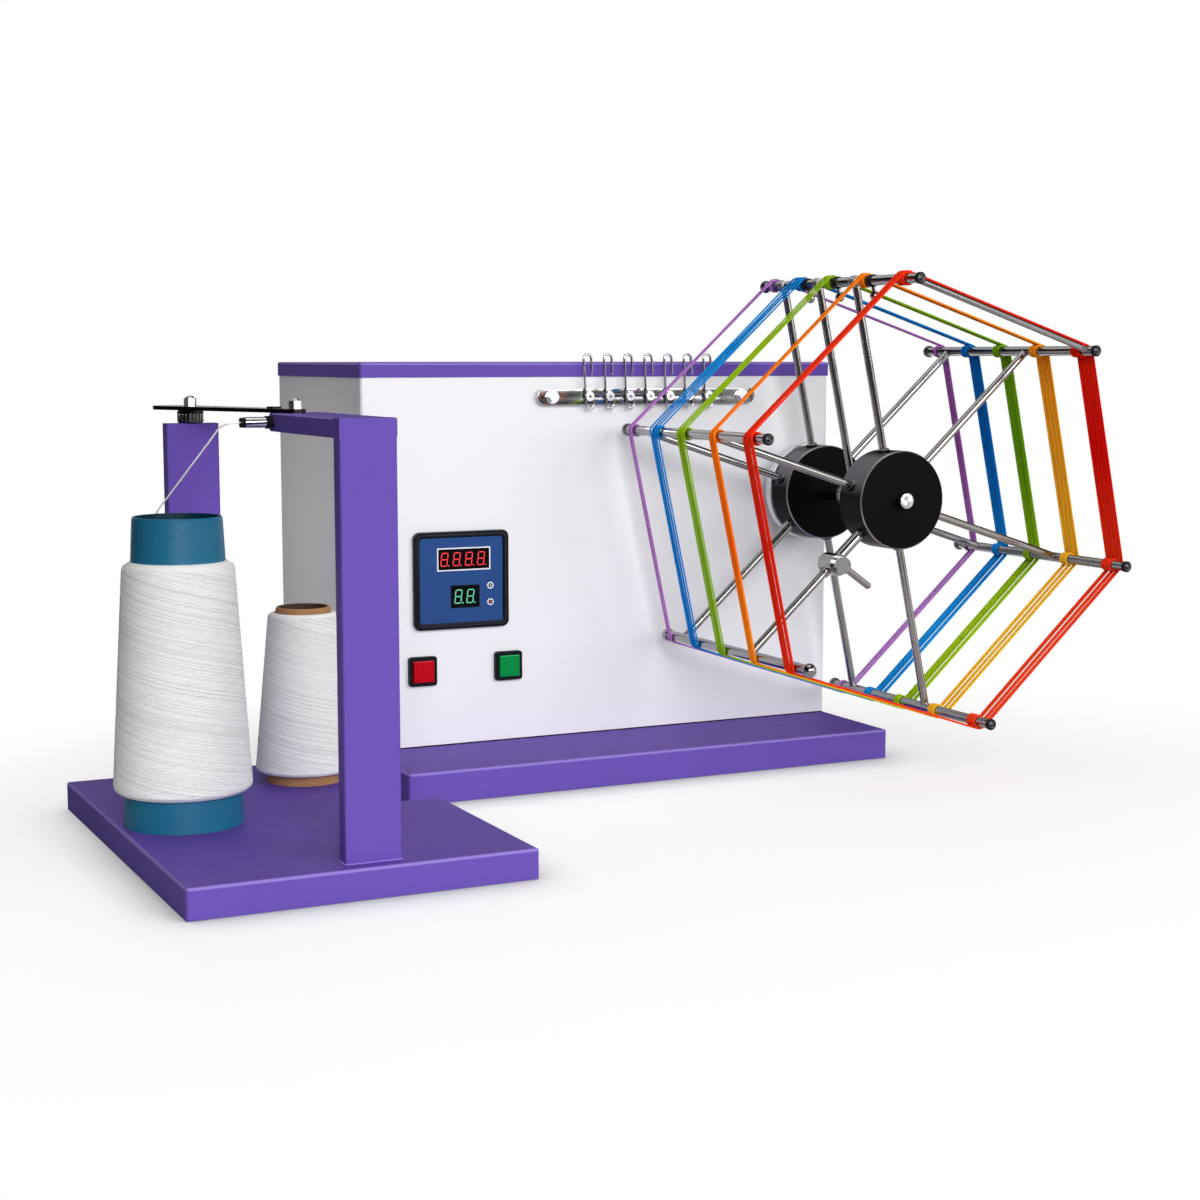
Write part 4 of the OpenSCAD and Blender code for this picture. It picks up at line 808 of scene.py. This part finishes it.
# Ribs of the spacer under the guide plate
def spacer_ribs():
    count, r, z = 20, 11, 370.2
    x, y = REAR_POST_AT
    parts = []
    for i in range(count):
        a = TAU * i / count
        at = Vector((x + r * math.cos(a), y + r * math.sin(a), z))
        parts.append(sweep([[(at + Vector((0, 0, h))) * MM for h in (0, 3.2, 6.4, 9.6)]], 0.75 * MM, 8))
    gather("spacer_ribs", parts, steel, "stand")


spacer_ribs()


# Bead along the counter's rim, in a lighter grey that paints the highlight on the rim's ridge
def rim_bead():
    left, right, bottom, top, r = -442.6, -345.4, 155.4, 248.6, 5
    centres = ((left + r, bottom + r), (right - r, bottom + r), (right - r, top - r), (left + r, top - r))
    line = []
    for i, (x, z) in enumerate(centres):
        for j in range(7):
            a = math.radians(180 + 90 * i + 15 * j)
            line.append(Vector((x + r * math.cos(a), -5.9, z + r * math.sin(a))) * MM)
    piece("rim_bead", sweep([line + line[:1]], 0.7 * MM, 10), rim_highlight_grey, "stand")


rim_bead()


# End discs in the front caps, with a turned ring
def cap_discs():
    profile = [(4.2, 0), (4.0, 0.35), (3.4, 0.35), (3.2, 0.15), (2.6, 0.15), (2.4, 0.4), (0.01, 0.5)]
    parts = []
    for k in FIXED_BARS:
        a = bar_angle(k)
        at = (REEL_R * math.cos(a), -309.42, AXIS_Z + REEL_R * math.sin(a))
        parts.append(turned(profile, at, TO_FRONT, 32))
    gather("cap_discs", parts, dark_steel, "reel")


cap_discs()


# Cross recesses in the guide screws, drawn as thin dark marks that paint the shade in them, and dots at the
# guide bar's ends
def recess(x, z, w, reach):
    return [[(x - reach, z - w), (x + reach, z - w), (x + reach, z + w), (x - reach, z + w)],
            [(x - w, z - reach), (x + w, z - reach), (x + w, z - w), (x - w, z - w)],
            [(x - w, z + w), (x + w, z + w), (x + w, z + reach), (x - w, z + reach)]]


def guide_marks():
    middle, pitch = -180.5, 23.6
    recess_shade_marks = []
    for i in range(7):
        recess_shade_marks += recess(middle + (i - 3) * pitch, GUIDE_BAR_Z, 0.45, 2.4)
    # Flat dark crosses: painted shade where the screw recesses would be
    raised("guide_screw_recess_shade", recess_shade_marks, -12.19, 0.05, dark_steel, "stand")
    dots = [disc(x, GUIDE_BAR_Z, 1.5, 16) for x in (-304.5, -56.5)]
    raised("guide_bar_dots", dots, -8.0, 0.06, rubber, "stand")


guide_marks()


# Brightness that metal mirrors in a direction: white low behind the object, panels on the right and above
def mirrored_light(owner, direction):
    def along(x, y, z, low, high, start, end):
        links = {0: direction}
        n = add(owner, "ShaderNodeVectorMath", {1: (x, y, z)}, links, operation="DOT_PRODUCT")
        return ranged(owner, n.outputs["Value"], low, high, start, end, interpolation_type="SMOOTHSTEP")
    behind = along(0.437, 0.892, -0.118, 0.62, 0.86, 0.05, 1.0)
    low = along(0, 0, 1, 0.03, 0.16, 1.0, 0.16)
    right = along(0.88, -0.46, 0.12, 0.8, 0.92, 0.0, 1.0)
    above = along(-0.05, 0.87, 0.49, 0.92, 0.97, 0.0, 0.9)
    over = along(0, 0, 1, 0.78, 0.96, 0.0, 0.6)
    panels = calc(owner, "MAXIMUM", right, calc(owner, "MAXIMUM", above, over))
    return calc(owner, "MAXIMUM", calc(owner, "MULTIPLY", behind, low), panels)


def mirror_rays(owner, path):
    return calc(owner, "MAXIMUM", path["Is Glossy Ray"], path["Is Transmission Ray"])


# White to the camera, the mirrored brightness to glossy and transmitted rays, nothing to the rest
def seen_light(owner, path, mirrored):
    shown = calc(owner, "MULTIPLY", mirror_rays(owner, path), mirrored)
    return calc(owner, "MAXIMUM", shown, path["Is Camera Ray"])


# Pale floor with a painted contact shadow where the object stands, fading to white further off
def pale_floor():
    reach, z = 6, -0.0006
    mesh = bpy.data.meshes.new("floor")
    mesh.from_pydata([(-reach, -reach, z), (reach, -reach, z), (reach, reach, z), (-reach, reach, z)], [],
                     [(0, 1, 2, 3)])
    floor = bpy.data.objects.new("floor", mesh)
    scene.collection.objects.link(floor)
    mat = bpy.data.materials.new("floor")
    mat.use_nodes = True
    tree = mat.node_tree
    tree.nodes.remove(shader_of(mat))
    path = add(mat, "ShaderNodeLightPath").outputs
    place = add(mat, "ShaderNodeTexCoord").outputs["Object"]
    aside = add(mat, "ShaderNodeVectorMath", {1: (-0.3, -0.15, 0.3)}, {0: place}, operation="SUBTRACT")
    ray = add(mat, "ShaderNodeVectorMath", links={0: aside.outputs[0]}, operation="NORMALIZE")
    seen = seen_light(mat, path, mirrored_light(mat, ray.outputs[0]))
    # Ambient occlusion darkens the floor's glow and colour near the object: a painted contact shadow
    near = add(mat, "ShaderNodeAmbientOcclusion", {"Distance": 0.05}, samples=12)
    contact = ranged(mat, near.outputs["AO"], 0.4, 1.0, 0.45, 1.0)
    level = calc(mat, "MULTIPLY", calc(mat, "MULTIPLY", seen, 0.42), contact)
    pale = ranged(mat, contact, 0, 1, 0.0, 0.8)
    shine = add(mat, "ShaderNodeEmission", {"Color": (1, 1, 1, 1)}, {"Strength": level})
    lit = add(mat, "ShaderNodeBsdfDiffuse", links={"Color": pale})
    both = add(mat, "ShaderNodeAddShader", links={0: shine.outputs[0], 1: lit.outputs[0]})
    full = add(mat, "ShaderNodeEmission", {"Color": (1, 1, 1, 1)}, {"Strength": seen})
    away = add(mat, "ShaderNodeVectorMath", {1: (0.3, 0.4, 0)}, {0: place}, operation="ADD")
    dist = add(mat, "ShaderNodeVectorMath", links={0: away.outputs[0]}, operation="LENGTH")
    fade = ranged(mat, dist.outputs["Value"], 0.5, 0.95)
    mixed = add(mat, "ShaderNodeMixShader", links={0: fade, 1: both.outputs[0], 2: full.outputs[0]})
    tree.links.new(mixed.outputs[0], tree.nodes["Material Output"].inputs["Surface"])
    mesh.materials.append(mat)


# Surroundings: white to the camera, panels to the metal and a weak even light to the rest
def surroundings():
    world = bpy.data.worlds.new("studio")
    scene.world = world
    world.use_nodes = True
    tree = world.node_tree
    back = tree.nodes["Background"]
    path = add(world, "ShaderNodeLightPath").outputs
    direction = add(world, "ShaderNodeTexCoord").outputs["Generated"]
    direct = seen_light(world, path, mirrored_light(world, direction))
    rest = calc(world, "MAXIMUM", mirror_rays(world, path), path["Is Camera Ray"])
    soft = calc(world, "MULTIPLY", calc(world, "SUBTRACT", 1.0, rest), 0.18)
    tree.links.new(calc(world, "ADD", direct, soft), back.inputs["Strength"])
    back.inputs["Color"].default_value = (1, 1, 1, 1)


def lamp(name, at, target, power, size, beam=180):
    data = bpy.data.lights.new(name, "AREA")
    data.energy, data.size, data.spread = power, size, math.radians(beam)
    o = bpy.data.objects.new(name, data)
    o.location = at
    o.rotation_euler = (Vector(target) - Vector(at)).to_track_quat("-Z", "Y").to_euler()
    scene.collection.objects.link(o)
    return o


# Studio: soft light from the front, a little from above and behind
pale_floor()
surroundings()
lamp("key", at=(-1.3, -3.9, 1.5), target=(-0.25, 0, 0.2), power=98, size=1.8)
lamp("fill", at=(1.4, -3.9, 1.5), target=(-0.25, 0, 0.2), power=74, size=2.2)
lamp("top", at=(-0.3, -0.3, 3.0), target=(-0.3, -0.1, 0.2), power=8, size=2.0)
lamp("side", at=(-1.9, 0.17, 0.25), target=(-0.5, 0.15, 0.23), power=0.06, size=0.3, beam=16)
rear = lamp("rear", at=(0.5, 3.9, 0.7), target=(-0.25, 0.2, 0.25), power=46, size=2.0)
rear.visible_glossy = False
